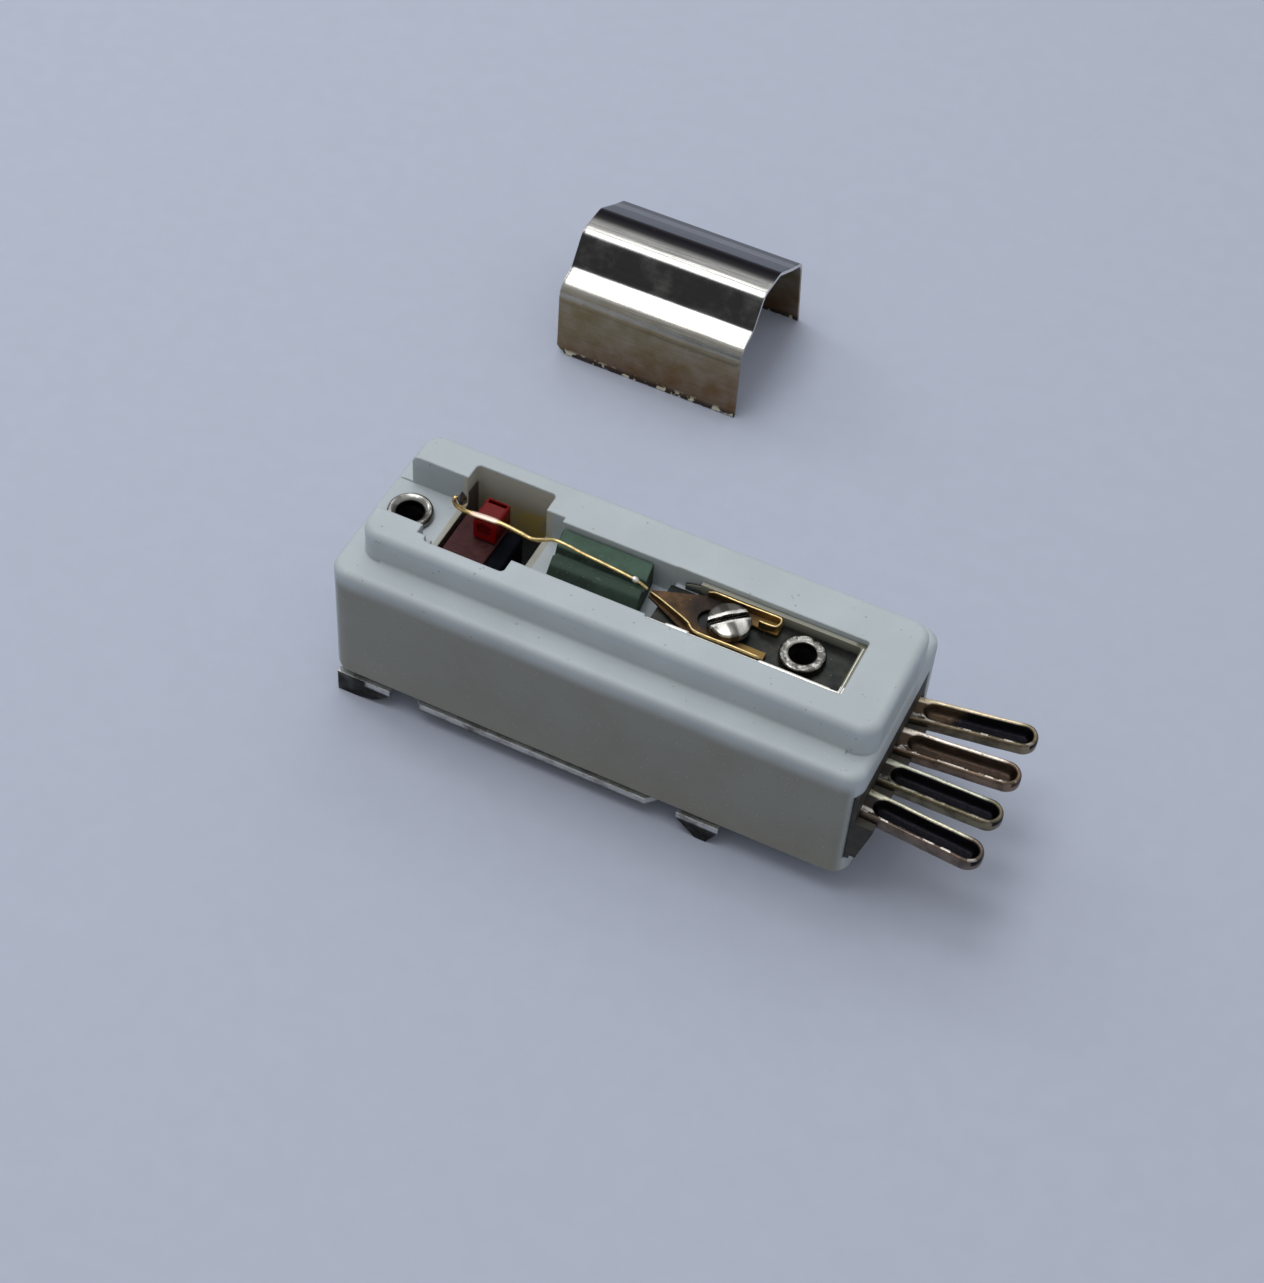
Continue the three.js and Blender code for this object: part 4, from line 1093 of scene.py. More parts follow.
class CARTRIDGE_OT_bracket(bpy.types.Operator):
    """Dress the nickel bracket with its wings and ears"""

    bl_idname = "cartridge.bracket"
    bl_label = "Mounting Bracket"

    def execute(self, context):
        scene = context.scene
        finish = bracket_finish(scene.cartridge_colours, scene.cartridge_sizes.metal_edge / MM)
        crisp(dress("mounting_bracket", finish))
        return {"FINISHED"}


class CARTRIDGE_OT_eyelets(bpy.types.Operator):
    """Make the domed front eyelet and the crimped rear eyelet"""

    bl_idname = "cartridge.eyelets"
    bl_label = "Eyelets"

    TUBE, BORE = 0.93, 0.72
    RIM_FOOT, RIM_INNER, SPLITS = 8.0, 0.78, 9

    def execute(self, context):
        scene = context.scene
        colours = scene.cartridge_colours
        depth = scene.cartridge_sizes.crimp_depth / MM
        self.eyelet("front_eyelet", "bright_nickel", shade(colours.nickel, 0.55),
                    colours.tarnish, 0.3, self.domed, None)
        self.eyelet("rear_eyelet", "dark_nickel", shade(colours.nickel, 0.62),
                    colours.tarnish, 0.8, self.flat, self.crimp(depth))
        return {"FINISHED"}

    def eyelet(self, node, slot, colour, dark, dented, head, warp):
        low, high = corner_of(node)
        centre = (low + high) / 2
        finish = eyelet_finish(node + "_nickel", colour, dark, centre, high.z, dented)
        flange, tube, bore = (high.x - low.x) / 2, self.TUBE, self.BORE
        seat = high.z - 0.4
        foot = low.z + 0.28
        profile = head(seat, high.z, flange, bore)
        profile += [
            (bore, seat - 0.35), (bore, foot), (bore + 0.02, low.z + 0.06), (bore + 0.09, low.z),
            (flange - 0.16, low.z), (flange - 0.04, low.z + 0.05), (flange, low.z + 0.14),
            (flange, foot), (tube, foot), (tube, seat)]
        turned_shape = lathe_mesh(profile, centre, 72, warp)
        mesh_piece(node + "_turned", turned_shape, finish, "body", [node])

    @staticmethod
    def domed(seat, top, flange, bore):
        """A smooth wide ring that falls gently over its inner edge."""
        rise = top - seat
        shares = [(1.0, 0.0), (1.0, 0.3), (0.975, 0.55), (0.9, 0.8), (0.78, 0.95), (0.64, 1.0),
                  (0.5, 0.97), (0.34, 0.9), (0.18, 0.79), (0.04, 0.66), (-0.08, 0.5), (-0.12, 0.3),
                  (-0.06, 0.1)]
        return [(bore + (flange - bore) * out, seat + rise * up) for out, up in shares]

    @staticmethod
    def flat(seat, top, flange, bore):
        """A rolled rim with a flat land and a sharp step into the bore."""
        rise = top - seat
        shares = [(1.0, 0.0), (1.0, 0.35), (0.96, 0.7), (0.86, 0.93), (0.72, 1.0), (0.5, 0.95),
                  (0.3, 0.9), (0.1, 0.87), (-0.08, 0.84), (-0.14, 0.74), (-0.13, 0.55), (-0.04, 0.3)]
        return [(bore + (flange - bore) * out, seat + rise * up) for out, up in shares]

    def crimp(self, depth):
        """Splits and dents round the rim where the tube was spread."""
        def warp(r, z, angle):
            if z < self.RIM_FOOT or r < self.RIM_INNER:
                return r, z
            share = min(1.0, (r - self.RIM_INNER) / 0.3)
            split = max(0.0, math.cos(angle * self.SPLITS + 0.7 * math.sin(angle * 2))) ** 10
            rough = noise.noise(Vector((math.cos(angle) * 4, math.sin(angle) * 4, 3 + r * 5)))
            tilt = 0.5 + 0.5 * math.cos(angle * 4 + 1.0)
            down = depth * share * (split * 1.3 + abs(rough) * 1.6 + tilt * 0.8)
            return r - depth * 0.6 * share * (split + 0.5 + rough * 0.5), z - down
        return warp


class CARTRIDGE_OT_stylus_tray(bpy.types.Operator):
    """Dress the tray strip and make its bent lip and the strip at its far corner"""

    bl_idname = "cartridge.stylus_tray"
    bl_label = "Stylus Tray"

    LIP_INSET, LIP_DIP = 0.13, 0.14

    def execute(self, context):
        scene = context.scene
        low, high = corner_of("stylus_tray")
        finish = tray_finish(high.z)
        crisp(dress("stylus_tray", finish))
        lip = tube_mesh(self.lip_path(low, high), lambda point: self.lip_size(point, high), 12)
        bright = nickel_finish(
            "tray_lip_nickel", Tint.TRAY_LIP, scene.cartridge_colours.tarnish, 0.05, 0.36)
        mesh_piece("tray_lip", lip, bright, "body")
        corner = fold_mesh([(2.05, 1.14), (2.5, 1.16), (3.2, 1.17)], 0.12, low.z + 0.02,
                           lambda share: high.z - 0.42 + 0.25 * share)
        mesh_piece("tray_far_corner", corner, finish, "body")
        return {"FINISHED"}

    def lip_path(self, low, high):
        """Along the near rim, which dips beside the shoe, and across the rear end."""
        near, end, level, dip = low.y + 0.21, high.x - self.LIP_INSET, high.z, high.z - self.LIP_DIP
        return smooth_path([
            (2.35, near, level - 0.04), (2.6, near, level), (3.5, near, level), (3.8, near, dip),
            (6.8, near, dip), (7.2, near, level), (9.0, near, level), (end - 0.4, near, level),
            (end - 0.06, near + 0.03, level), (end, near + 0.1, level), (end, -0.2, level),
            (end, high.y - 0.2, level)], 8)

    def lip_size(self, point, high):
        """Width and height of the lip. It is narrower across the rear end."""
        return (0.22 if point.x < high.x - self.LIP_INSET - 0.5 else 0.10, 0.08)


class CARTRIDGE_OT_needle_shoe(bpy.types.Operator):
    """Make the gold fork that carries the needle: floor, near rim and hooked far rim"""

    bl_idname = "cartridge.needle_shoe"
    bl_label = "Needle Shoe"

    FLOOR = 0.16
    LINE = -0.42
    SHOULDER = 3.5
    SLOT_START, SLOT_HALF = 4.05, 0.62

    def execute(self, context):
        scene = context.scene
        colours = scene.cartridge_colours
        wall = scene.cartridge_sizes.shoe_rim / MM
        low, high = corner_of("needle_shoe")
        floor = sheet_mesh(self.plan(low, high), low.z, low.z + self.FLOOR, 0.025)
        mesh_piece("shoe_floor", floor, shoe_floor_finish(), "body", ["needle_shoe"],
                   smooth=False)
        gold = gold_finish("gold_rim", colours)
        foot = low.z + 0.02
        inset = wall / 2 + 0.01
        near = fold_mesh(self.near_path(low, high, low.y + inset), wall, foot,
                         lambda share: high.z - 0.17 * max(0.0, 1 - share * 2.6))
        mesh_piece("shoe_near_rim", near, gold, "body")
        far = fold_mesh(self.far_path(high, inset), wall, foot,
                        lambda share: high.z - 0.14 * max(0.0, 1 - share * 9))
        mesh_piece("shoe_far_rim", far, gold, "body")
        return {"FINISHED"}

    def near_path(self, low, high, line):
        """From the nose along the slanting near side to the end of the near arm."""
        return [
            (low.x + 0.06, -0.36), (low.x + 0.9, -0.68), (low.x + 2.3, -1.27),
            (self.SHOULDER - 0.05, -1.52), (self.SHOULDER + 0.2, line + 0.05), (4.3, line),
            (5.6, line + 0.02), (high.x - 0.03, line)]

    def far_path(self, high, inset):
        """Along the far arm, round its end and a short way back beside the slot."""
        line, end = high.y - inset, high.x - inset
        inner = self.LINE + self.SLOT_HALF + inset
        return [
            (self.SHOULDER - 0.2, line - 0.03), (self.SHOULDER + 0.3, line), (5.2, line - 0.02),
            (end - 0.3, line), (end - 0.06, line - 0.06), (end, high.y - 0.36),
            (end - 0.12, inner + 0.06), (end - 0.45, inner), (6.15, inner)]

    def plan(self, low, high):
        """The floor's outline: nose, shoulders, two arms and the round-ended slot between them."""
        near, far, end, half = low.y + 0.02, high.y - 0.02, high.x - 0.02, self.SLOT_HALF
        plan = [(low.x + 0.01, -0.46), (self.SHOULDER, near), (end, near), (end, self.LINE - half)]
        for k in range(9):
            angle = -TURN / 4 - TURN / 2 * k / 8
            plan.append(
                (self.SLOT_START + half * math.cos(angle), self.LINE + half * math.sin(angle)))
        plan += [(end, self.LINE + half), (end, far), (self.SHOULDER, far), (low.x + 0.01, -0.04)]
        return plan


class CARTRIDGE_OT_needle_screw(bpy.types.Operator):
    """Make the slotted screw with its domed head and thread, and dress its insert"""

    bl_idname = "cartridge.needle_screw"
    bl_label = "Needle Screw"

    SLOT_TURN = 0.75
    HEAD_HEIGHT, SHANK, PITCH = 0.60, 0.48, 0.14

    def execute(self, context):
        scene = context.scene
        colours = scene.cartridge_colours
        low, high = corner_of("needle_screw")
        x, y = (low.x + high.x) / 2, (low.y + high.y) / 2
        finish = screw_finish(colours, Vector((x, y)), self.SLOT_TURN, high.z)
        profile = self.profile(low.z, high.z, (high.x - low.x) / 2)
        screw = rings_mesh([
            [self.worn(x, y, high.z, r * c, r * s, z) for c, s in circle(72)] for r, z in profile])
        piece = mesh_piece(
            "slotted_screw", screw, finish, "screw", ["needle_screw"])
        slot = plain_block((x - 2, y - 0.14, high.z - 0.34), (x + 2, y + 0.20, high.z + 1))
        carve(piece, turned(slot, (x, y, 0), self.SLOT_TURN))
        soften(piece, 0.02 * MM, 50)
        brass = turned_finish("brass", Tint.BRASS, Tint.BRASS_DARK)
        soften(dress("screw_insert", brass), 0.03 * MM)
        return {"FINISHED"}

    def profile(self, foot, top, head):
        """Radius and height from the middle of the domed head, down the thread to the foot."""
        shank, seat = self.SHANK, top - self.HEAD_HEIGHT
        shares = (0.02, 0.12, 0.24, 0.36, 0.48, 0.6, 0.72, 0.82, 0.9)
        profile = [(head * share, top - 0.13 * share ** 2) for share in shares]
        profile += [(head * 0.96, top - 0.145), (head * 0.99, top - 0.19), (head, top - 0.27)]
        profile += [(head, seat + 0.08), (head - 0.03, seat + 0.02), (head - 0.09, seat)]
        profile.append((shank, seat))
        level = seat - 0.08
        while level > foot + self.PITCH:
            profile += [(shank, level), (shank - 0.09, level - self.PITCH / 2)]
            level -= self.PITCH
        return profile + [(shank - 0.12, foot), (0.02, foot)]

    def worn(self, x, y, top, dx, dy, z):
        """A point of the screw. Drivers have dented the head in shallow waves along its slot."""
        if z > top - 0.2:
            along = dx * math.cos(self.SLOT_TURN) + dy * math.sin(self.SLOT_TURN)
            z -= 0.012 * (1 - math.cos(along * 7.0))
        return x + dx, y + dy, z


class CARTRIDGE_OT_needle(bpy.types.Operator):
    """Make the bent needle wire and the jewel on its end"""

    bl_idname = "cartridge.needle"
    bl_label = "Needle"

    FACETS = 7
    RUN = [
        (0.73, 9.15), (0.05, 9.45), (-1.352, 9.67), (-2.754, 9.83), (-3.404, 9.95), (-4.146, 9.99),
        (-4.703, 9.72), (-5.352, 9.45), (-6.002, 9.55), (-6.95, 9.67), (-7.754, 9.65), (-8.60, 9.57),
        (-9.10, 9.58), (-9.36, 9.68), (-9.49, 9.94), (-9.45, 10.16), (-9.33, 10.29)]

    def execute(self, context):
        scene = context.scene
        colours = scene.cartridge_colours
        width = scene.cartridge_sizes.wire_width / MM
        low, high = corner_of("needle_wire")
        line = (low.y + high.y) / 2

        def size(point):
            flat = max(0.0, 1 - (abs(point.x - FLAT_OF_WIRE) / 0.85) ** 4)
            slim = 1.0 - 0.2 * min(1.0, max(0.0, (point.x + 5.0) / 1.0))
            return width * slim * (1 + 0.6 * flat), width * slim * 0.94 * (1 - 0.12 * flat)

        path = smooth_path([(x, line, z) for x, z in self.RUN], 7)
        gold = gold_finish("gold_wire", colours, with_glint=True)
        mesh_piece("needle_wire_bent", tube_mesh(path, size, 20), gold, "needle",
                   ["needle_wire"])
        self.bead(line, colours)
        low, high = corner_of("jewel_tip")
        centre = (low + high) / 2
        collar = [(0.02, 0.0), (0.15, 0.0), (0.18, 0.03), (0.17, 0.09), (0.02, 0.11)]
        mesh_piece(
            "jewel_collar", self.spun(collar, centre, low.z, 40), gold, "needle")
        cone = [(0.02, 0.12), (0.13, 0.13), (0.21, 0.27), (0.255, 0.42), (0.235, 0.52), (0.12, 0.76),
                (0.02, high.z - low.z)]
        cut = self.spun(cone, centre, low.z, self.FACETS)
        mesh_piece("jewel_cut", cut, jewel_finish(), "needle", ["jewel_tip"], smooth=False)
        return {"FINISHED"}

    @staticmethod
    def bead(line, colours):
        """A drop of metal on the wire, above the pad's rear end, painted near white as the highlight
        where the wire bends.
        """
        rings = []
        for k in range(9):
            level = math.pi * (0.04 + 0.92 * k / 8)
            x = 0.06 - math.cos(level) * 0.2
            radius = 0.17 * math.sin(level)
            middle = 9.455 - (x - 0.05) * 0.28
            rings.append([(x, line + radius * c, middle + radius * s) for c, s in circle(20)])
        finish = nickel_finish("bead_highlight_metal", Tint.BEAD_HIGHLIGHT, colours.tarnish, 0.0, 0.34)
        mesh_piece("wire_bead", rings_mesh(rings), finish, "needle")

    @staticmethod
    def spun(profile, centre, foot, sides):
        """A solid turned from radii and heights above its foot."""
        return rings_mesh([
            [(centre.x + r * c, centre.y + r * s, foot + z) for c, s in circle(sides)]
            for r, z in profile])


class CARTRIDGE_OT_damping_pad(bpy.types.Operator):
    """Make the soft green pad with the furrow under the wire"""

    bl_idname = "cartridge.damping_pad"
    bl_label = "Damping Pad"

    LENGTH = 4.65
    FRONT, REAR = (-3.951, -4.4), (0.70, 0.35)
    GROOVE_LINE, GROOVE_HALF, GROOVE_DEPTH = -0.25, 0.24, 0.44
    NEAR_SLOPE = 0.6

    def execute(self, context):
        scene = context.scene
        edge = scene.cartridge_sizes.pad_round / MM
        low, high = corner_of("damping_pad")
        block = soft_block(
            (0, low.y + 0.04, low.z), (self.LENGTH, high.y - 0.04, high.z - 0.01), edge,
            (30, 26, 10), lambda place: self.soft(place, low, high))
        pad = mesh_piece("damping_pad_soft", block, damper_finish(scene.cartridge_colours), "body",
                         ["damping_pad"])
        return {"FINISHED"}

    def soft(self, place, low, high):
        """Slants both ends and the near side, presses in the furrow and lets the top sag."""
        along = place.x / self.LENGTH
        across = (place.y - low.y) / (high.y - low.y)
        up = (place.z - low.z) / (high.z - low.z)
        start, end = (near + (far - near) * across for near, far in (self.FRONT, self.REAR))
        swell = 0.03 * math.sin(math.pi * up)
        x = start + (end - start) * along + (along - 0.5) * 2 * swell * abs(along * 2 - 1) ** 6
        near = low.y + 0.02 + self.NEAR_SLOPE * min(1.0, max(0.0, (place.z - high.z + 0.8) / 0.8))
        y = near + (high.y - near) * across
        groove = math.exp(-((y - self.GROOVE_LINE) / self.GROOVE_HALF) ** 4)
        wave = 0.025 * math.sin(along * 9.0) + 0.02 * noise.noise(Vector((x, y, 4)) * 1.1)
        z = place.z - up ** 3 * (0.03 + self.GROOVE_DEPTH * groove + abs(wave))
        return Vector((x, y, z)) + jitter((x, y, z), 1.6, 0.012)


class CARTRIDGE_OT_coupler(bpy.types.Operator):
    """Make the yoke, the red saddle and the rubber boot in the well"""

    bl_idname = "cartridge.coupler"
    bl_label = "Coupler"

    def execute(self, context):
        colours = context.scene.cartridge_colours
        self.yoke(colours)
        self.saddle(colours)
        self.boot(colours)
        return {"FINISHED"}

    @staticmethod
    def yoke(colours):
        low, high = corner_of("coupler_yoke")

        def shape(p):
            dip = 0.05 * math.exp(-((p.x + 8.9) / 0.3) ** 2) if p.z > high.z - 0.3 else 0.0
            return Vector((p.x, p.y, p.z - dip)) + jitter(p, 1.2, 0.012)

        block = soft_block(low, high, 0.12, (10, 14, 12), shape)
        piece = mesh_piece("yoke_block", block, yoke_finish(colours), "pickup",
                           ["coupler_yoke"])
        notch = plain_block(
            (low.x - 1, low.y + 0.55, low.z - 1), (high.x - 0.7, high.y - 0.55, low.z + 1.6))
        carve(piece, notch)

    @staticmethod
    def saddle(colours):
        low, high = corner_of("coupler_saddle")
        block = soft_block(low, high, 0.14, (8, 10, 8), lambda p: p + jitter(p, 1.5, 0.008))
        piece = mesh_piece("red_saddle", block, saddle_finish(colours), "pickup",
                           ["coupler_saddle"])
        slit = plain_block(
            (low.x + 0.16, high.y - 0.36, high.z - 0.55),
            (high.x - 0.12, high.y - 0.13, high.z + 1))
        carve(piece, slit)
        middle = (low.x + high.x) / 2
        disc = rings_mesh([
            [(middle + DISC_RADIUS * c, y, DISC.z + DISC_RADIUS * s) for c, s in circle(40)]
            for y in (low.y - 0.5, low.y + 0.1)])
        carve(piece, disc)
        soften(piece, 0.03 * MM, 50)

    @staticmethod
    def boot(colours):
        low, high = corner_of("rubber_boot")

        def shape(p):
            rib = 0.03 * math.cos((p.z - low.z) * 5.0) * (1 if p.z < high.z - 0.7 else 0)
            across = (p.y - (low.y + high.y) / 2) / (high.y - low.y) * 2
            return Vector((p.x, p.y - across * (0.03 + rib), p.z)) + jitter(p, 1.1, 0.014)

        block = soft_block(low, high, 0.16, (6, 12, 26), shape)
        mesh_piece("boot_block", block, rubber_finish("black_rubber", colours), "pickup",
                   ["rubber_boot"])


class CARTRIDGE_OT_inside(bpy.types.Operator):
    """Dress the ceramic elements, their clamp and the leads"""

    bl_idname = "cartridge.inside"
    bl_label = "Elements and Leads"

    def execute(self, context):
        colours = context.scene.cartridge_colours
        ceramic = ceramic_finish(colours)
        for node in ("near_element", "far_element"):
            soften(dress(node, ceramic), 0.03 * MM)
        clamp = dress("element_clamp", rubber_finish("clamp_rubber", colours))
        soften(clamp, 0.12 * MM, segments=3)
        copper = turned_finish("copper_lead", colours.copper, shade(colours.copper, 0.4))
        for i in range(1, 5):
            dress(f"terminal_lead_{i}", copper)
        return {"FINISHED"}


class CARTRIDGE_OT_terminals(bpy.types.Operator):
    """Make the four stamped terminals and dress their block"""

    bl_idname = "cartridge.terminals"
    bl_label = "Terminals"

    START, LENGTH, HALF, FLOOR, HEIGHT = 11.60, 8.0, 0.75, 0.24, 0.75
    ROOT_LINE, ROOT_PITCH, TIP_LINE, TIP_PITCH = -0.44, 2.07, -0.17, 2.54
    RUN, LEAD = 5.8, 2.2
    TROUGH = 2.45
    STEPS = 12
    # per terminal: the side's colour, the painted shade in the trough, the painted highlight on the
    # far rim, the place beyond which the trough is painted black, and the strength of the near rim's
    # painted highlights
    LOOKS = (
        {"side": (0.30, 0.245, 0.165), "wall": (0.075, 0.05, 0.032), "far": (0.80, 0.68, 0.48),
         "black_from": 16.2, "rim_glint": 0.75},
        {"side": (0.33, 0.235, 0.17), "wall": (0.052, 0.035, 0.026), "far": (1.0, 0.90, 0.78),
         "black_from": 20.5, "rim_glint": 1.0},
        {"side": (0.26, 0.23, 0.15), "wall": (0.010, 0.009, 0.012), "far": (0.55, 0.56, 0.46),
         "black_from": 11.0, "rim_glint": 0.25},
        {"side": (0.22, 0.17, 0.14), "wall": (0.016, 0.015, 0.017), "far": (0.62, 0.60, 0.46),
         "black_from": 11.0, "rim_glint": 1.0},
    )

    def execute(self, context):
        scene = context.scene
        wall = scene.cartridge_sizes.pin_wall / MM
        for i, look in enumerate(self.LOOKS):
            node = f"terminal_pin_{i + 1}"
            low, high = corner_of(node)
            line = (*self.line(i), self.START + self.LEAD)
            finish = terminal_finish(f"terminal_metal_{i + 1}", look, high.z, line)
            mesh_piece(f"terminal_{i + 1}_stamped", rings_mesh(self.rings(i, wall, low.z)), finish,
                       "body", [node])
        crisp(dress("terminal_block", resin_finish(scene.cartridge_colours)))
        return {"FINISHED"}

    def line(self, i):
        """Where a terminal leaves the block, and how far it fans out for each millimetre."""
        root = self.ROOT_LINE + self.ROOT_PITCH * (1.5 - i)
        tip = self.TIP_LINE + self.TIP_PITCH * (1.5 - i)
        return root, (tip - root) / self.RUN

    def rings(self, i, wall, bottom):
        """Outlines from the middle of the underside, over the rim, to the middle of the trough."""
        height, floor = self.HEIGHT, self.FLOOR
        outer = [(0.5, 0.0), (0.22, 0.0), (0.08, 0.03), (0.02, 0.10), (0.0, 0.2), (0.0, height - 0.14),
                 (0.03, height - 0.05), (0.08, height - 0.01), (wall * 0.5, height)]
        inner = [(wall * 0.8, height - 0.01), (wall, height - 0.05), (wall + 0.05, height - 0.12),
                 (wall + 0.12, height - 0.26), (wall + 0.2, floor + 0.1), (wall + 0.27, floor + 0.02),
                 (0.6, floor)]
        rings = [self.outline(i, inset, bottom + z, 0.0) for inset, z in outer]
        rings += [self.outline(i, inset, bottom + z, self.TROUGH - wall) for inset, z in inner]
        return rings

    def outline(self, i, inset, z, start):
        """A long oval at one height. It is square at the root unless it lies in the trough."""
        radius = self.HALF - inset
        end = self.LENGTH - self.HALF
        back = start + inset if start else inset * 0.2
        bend = back + radius if start else back
        points = []
        for k in range(17):
            angle = -TURN / 4 + TURN / 2 * k / 16
            points.append((end + radius * math.cos(angle), radius * math.sin(angle)))
        points += [(end + (bend - end) * k / self.STEPS, radius) for k in range(1, self.STEPS)]
        for k in range(9):
            angle = TURN / 4 + TURN / 2 * k / 8
            x = back + (radius * (1 + math.cos(angle)) if start else 0.0)
            points.append((x, radius * math.sin(angle)))
        points += [(bend + (end - bend) * k / self.STEPS, -radius) for k in range(1, self.STEPS)]
        return [self.laid(i, x, y, z) for x, y in points]

    def laid(self, i, x, y, z):
        """Turns a place on the terminal onto its line in the fan, with small dents."""
        root, slope = self.line(i)
        angle = math.atan(slope)
        dent = jitter((x, y * 2 + i * 7, z), 0.9, 0.03 if x > 2.7 else 0.0)
        y = y * 0.98 + dent.y
        z = z + min(0.0, dent.z)
        return Vector((
            self.START + x * math.cos(angle) - y * math.sin(angle),
            root - slope * self.LEAD + x * math.sin(angle) + y * math.cos(angle), z))


class CARTRIDGE_OT_cover_clip(bpy.types.Operator):
    """Make the bent spring clip with its drawn surface and burred edges"""

    bl_idname = "cartridge.cover_clip"
    bl_label = "Cover Clip"

    LENGTH, WIDTH, HEIGHT, THICKNESS = 10.9, 9.1, 6.9, 0.2
    STEPS = 60
    BURR_REACH, CUT_CORNER = 0.8, 0.5
    SECTION = [(0.010, 0.0), (0.015, 0.68), (0.17, 0.74), (0.31, 0.985), (0.54, 0.965), (0.74, 0.81),
               (0.91, 0.69), (0.986, 0.0)]

    def execute(self, context):
        scene = context.scene
        sizes = scene.cartridge_sizes
        low, high = corner_of("cover_clip")
        line = self.section(sizes.clip_bend / MM)
        burr = sizes.clip_burr / MM
        length = high.x - low.x
        sheet = rings_mesh([
            self.ring(line, low.x + length * k / self.STEPS, k / self.STEPS, low, burr)
            for k in range(self.STEPS + 1)])
        clip = mesh_piece("cover_clip_sheet", sheet, clip_finish(scene.cartridge_colours), "clip",
                          ["cover_clip"])
        soften(clip, 0.04 * MM, 50)
        return {"FINISHED"}

    def section(self, bend):
        """The middle line of the sheet, with an arc in each bend."""
        corners = [Vector((y * self.WIDTH, z * self.HEIGHT)) for y, z in self.SECTION]
        line = [corners[0] + (corners[1] - corners[0]) * k / 8 for k in range(8)]
        for before, here, after in zip(corners, corners[1:], corners[2:]):
            a, b = (before - here).normalized(), (after - here).normalized()
            half = a.angle(b) / 2
            centre = here + (a + b).normalized() * bend / math.sin(half)
            start = here + a * bend / math.tan(half) - centre
            sweep = math.pi - half * 2
            sign = 1 if a.cross(b) > 0 else -1
            for k in range(9):
                turn = -sign * sweep * k / 8
                line.append(centre + Vector((
                    start.x * math.cos(turn) - start.y * math.sin(turn),
                    start.x * math.sin(turn) + start.y * math.cos(turn))))
            if here == corners[-2]:
                line += [line[-1] + (after - line[-1]) * k / 8 for k in range(1, 9)]
        return line

    def ring(self, line, x, along, low, burr):
        """The sheet's outline at one place along the clip."""
        inner, outer = [], []
        trim = self.CUT_CORNER * max(0.0, 1 - along * self.LENGTH / self.CUT_CORNER)
        for i, point in enumerate(line):
            ahead = (line[min(i + 1, len(line) - 1)] - line[max(i - 1, 0)]).normalized()
            across = Vector((-ahead.y, ahead.x)) * self.THICKNESS / 2
            for target, side in ((inner, -1), (outer, 1)):
                place = point + across * side
                y, z = place.x, place.y
                if z < self.BURR_REACH:
                    far = y > self.WIDTH / 2
                    rough = abs(noise.noise(Vector((x * 2.1, i * 0.01 + far * 9, side * 0.3))))
                    fine = abs(noise.noise(Vector((x * 6.0, far * 5, side * 0.7))))
                    lift = (rough * 0.9 + fine * 0.5) * burr + trim
                    z = max(z, 0) * (self.BURR_REACH - lift) / self.BURR_REACH + lift
                target.append((x, low.y + 0.01 + y, low.z + z))
        return outer + inner[::-1]


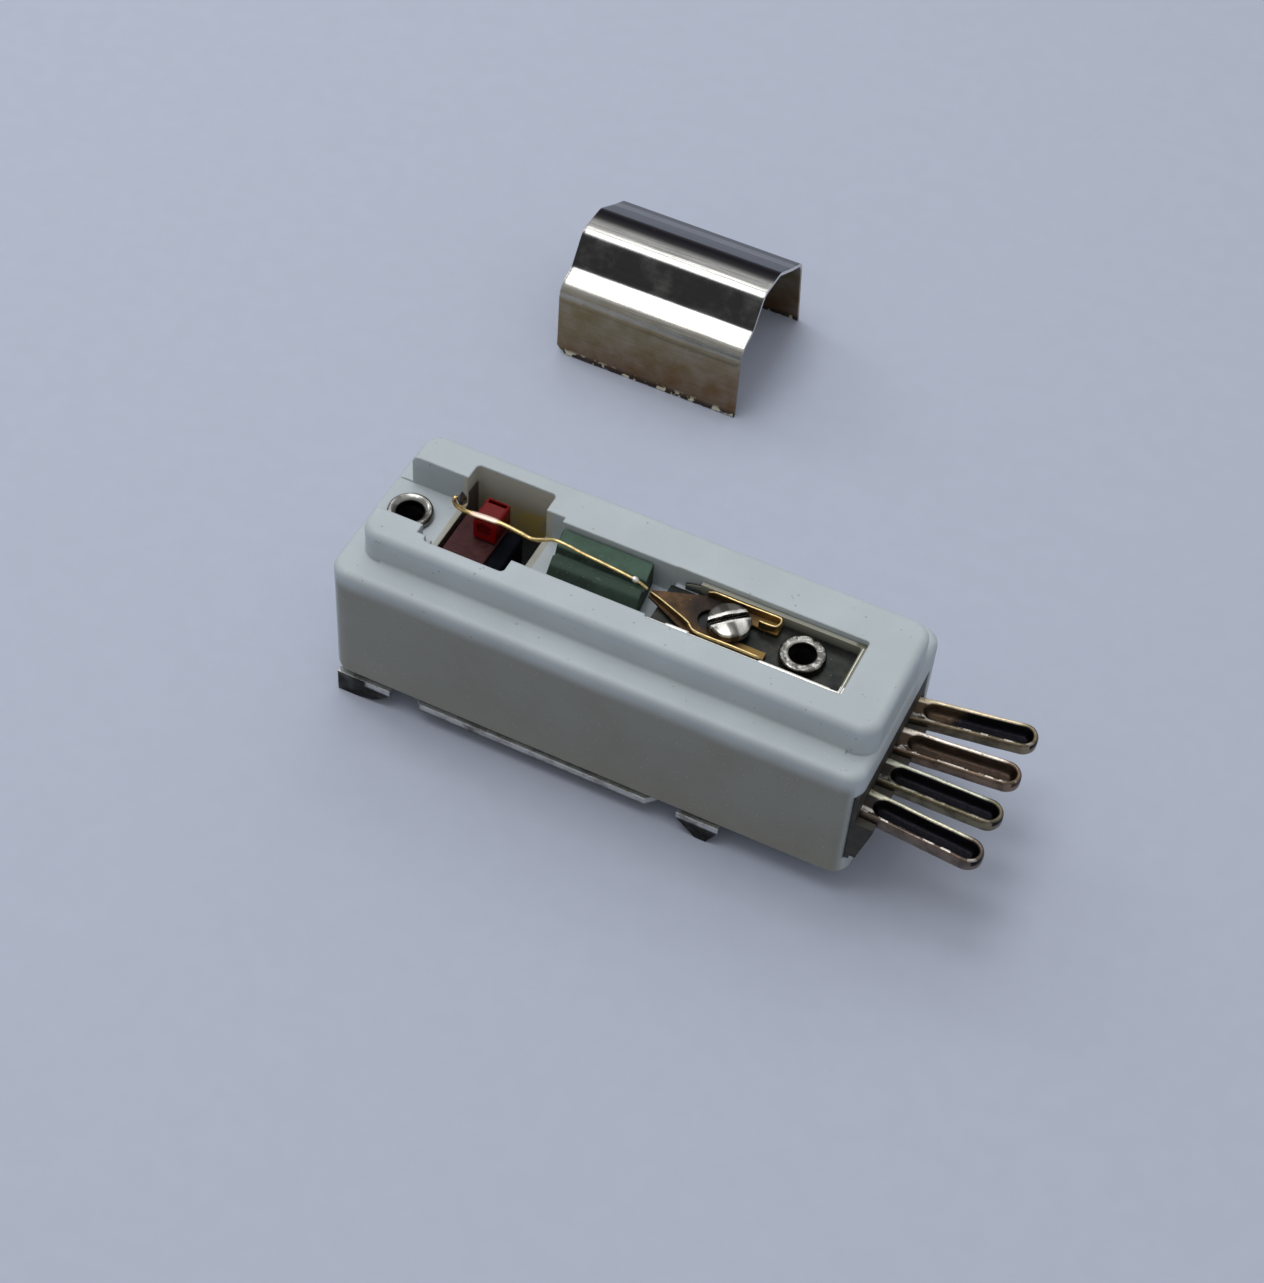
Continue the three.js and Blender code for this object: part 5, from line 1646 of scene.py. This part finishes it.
class CARTRIDGE_OT_studio(bpy.types.Operator):
    """Set up the camera, the pale floor and the soft lamps"""

    bl_idname = "cartridge.studio"
    bl_label = "Studio"

    EYE = (30.13, -73.71, 98.81)
    RIGHT = (0.89934, 0.43410, 0.05242)
    DOWN = (0.36270, -0.67368, -0.64390)
    AHEAD = (-0.24420, 0.59810, -0.76331)
    HEIGHTS = ((0.0, (0.5, 0.5, 0.52)), (0.3, (0.8, 0.81, 0.84)), (0.55, (0.62, 0.63, 0.66)),
               (0.8, (0.75, 0.76, 0.78)), (0.95, (1.3, 1.3, 1.32)))
    NEAR_SIDE_SHADE = (0.74, 0.72, 0.66)
    FLOOR_HALF = 1200

    def execute(self, context):
        scene = context.scene
        studio = scene.cartridge_studio
        self.camera(scene, studio)
        self.floor(studio)
        self.world(scene, studio)
        self.lamp("key", (-55, -5, 255), (0, 6, 0), (170, 110), studio.key_watts)
        self.lamp("fill", (-190, 60, 150), (0, 5, 0), (60, 90), studio.fill_watts)
        self.lamp("window", (-62, 152, 194), (0, 0, 5), (140, 70), studio.window_watts)
        scene.view_settings.view_transform = "Standard"
        return {"FINISHED"}

    def camera(self, scene, studio):
        data = bpy.data.cameras.new("viewpoint")
        data.sensor_fit = "HORIZONTAL"
        data.sensor_width = 36
        data.lens = studio.lens
        data.clip_start = 1 * MM
        right, up, back = Vector(self.RIGHT), -Vector(self.DOWN), -Vector(self.AHEAD)
        turn = Matrix((right, up, back)).transposed().to_4x4()
        scene.camera = add_object("viewpoint", data)
        scene.camera.matrix_world = Matrix.Translation(Vector(self.EYE) * MM) @ turn

    def floor(self, studio):
        s = Sheet("floor_paper")
        grain = s.noise(0.8, 5.0)
        s.base = s.mix(
            s.between(grain, 0.3, 0.75), shade(studio.floor, 0.985), shade(studio.floor, 1.01))
        skin = s.bump(s.noise(3.0, 4.0), 0.01, 0.15)
        material = s.finish(Roughness=0.85, Normal=skin)
        reach = self.FLOOR_HALF * MM
        level = min(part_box(node)[0].z for node in ("mounting_bracket", "cover_clip"))
        mesh = bpy.data.meshes.new("floor")
        sides = ((-1, -1), (1, -1), (1, 1), (-1, 1))
        mesh.from_pydata([(x * reach, y * reach, level) for x, y in sides], [], [(0, 1, 2, 3)])
        mesh.materials.append(material)
        add_object("floor", mesh)

    def world(self, scene, studio):
        """Soft light from all round, dimmer and warmer from the near side."""
        world = bpy.data.worlds.new("soft room")
        world.use_nodes = True
        g = Graph(world.node_tree)
        ray = g.node("ShaderNodeTexCoord", out="Generated")
        across, rise = (g.node("ShaderNodeSeparateXYZ", values={0: ray}, out=axis) for axis in "YZ")
        height = g.node("ShaderNodeValToRGB", {"stops": self.HEIGHTS}, {0: rise})
        side = g.mix(g.between(across + rise, -0.45, 0.35), self.NEAR_SIDE_SHADE, (1, 1, 1))
        colour = g.mix(1.0, height, side, "MULTIPLY")
        sky = g.tree.nodes["Background"]
        g.tree.links.new(colour.socket, sky.inputs["Color"])
        sky.inputs["Strength"].default_value = studio.sky
        scene.world = world

    @staticmethod
    def lamp(name, place, target, size, watts):
        """A soft lamp that looks at its target. Places and sizes are in millimetres."""
        data = bpy.data.lights.new(name, "AREA")
        data.shape = "RECTANGLE"
        data.size, data.size_y = size[0] * MM, size[1] * MM
        data.energy = watts
        lamp = add_object(name, data)
        lamp.location = Vector(place) * MM
        lamp.rotation_euler = (Vector(target) - Vector(place)).to_track_quat("-Z", "Y").to_euler()


PIECES = (
    CARTRIDGE_OT_moulded_body, CARTRIDGE_OT_bracket, CARTRIDGE_OT_eyelets, CARTRIDGE_OT_stylus_tray,
    CARTRIDGE_OT_needle_shoe, CARTRIDGE_OT_needle_screw, CARTRIDGE_OT_needle, CARTRIDGE_OT_damping_pad,
    CARTRIDGE_OT_coupler, CARTRIDGE_OT_inside, CARTRIDGE_OT_terminals, CARTRIDGE_OT_cover_clip,
    CARTRIDGE_OT_studio,
)


class CARTRIDGE_PT_panel(bpy.types.Panel):
    """Lists the settings and the pieces"""

    bl_idname = "CARTRIDGE_PT_panel"
    bl_label = "Phono Cartridge"
    bl_space_type = "VIEW_3D"
    bl_region_type = "UI"
    bl_category = "Cartridge"

    def draw(self, context):
        scene = context.scene
        for title, group in (("Sizes", scene.cartridge_sizes), ("Colours", scene.cartridge_colours),
                             ("Studio", scene.cartridge_studio)):
            box = self.layout.box()
            box.label(text=title)
            for key in group.__annotations__:
                box.prop(group, key)
        for piece in PIECES:
            self.layout.operator(piece.bl_idname)


GROUPS = {
    "cartridge_sizes": CartridgeSizes,
    "cartridge_colours": CartridgeColours,
    "cartridge_studio": StudioSettings,
}


def register():
    for name, group in GROUPS.items():
        bpy.utils.register_class(group)
        setattr(bpy.types.Scene, name, bpy.props.PointerProperty(type=group))
    for cls in (*PIECES, CARTRIDGE_PT_panel):
        bpy.utils.register_class(cls)


def unregister():
    for cls in (CARTRIDGE_PT_panel, *reversed(PIECES)):
        bpy.utils.unregister_class(cls)
    for name, group in GROUPS.items():
        delattr(bpy.types.Scene, name)
        bpy.utils.unregister_class(group)


def main():
    """Registers the classes and makes every piece in order."""
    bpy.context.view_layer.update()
    register()
    for piece in PIECES:
        group, name = piece.bl_idname.split(".")
        getattr(getattr(bpy.ops, group), name)()


if __name__ == "__main__":
    main()
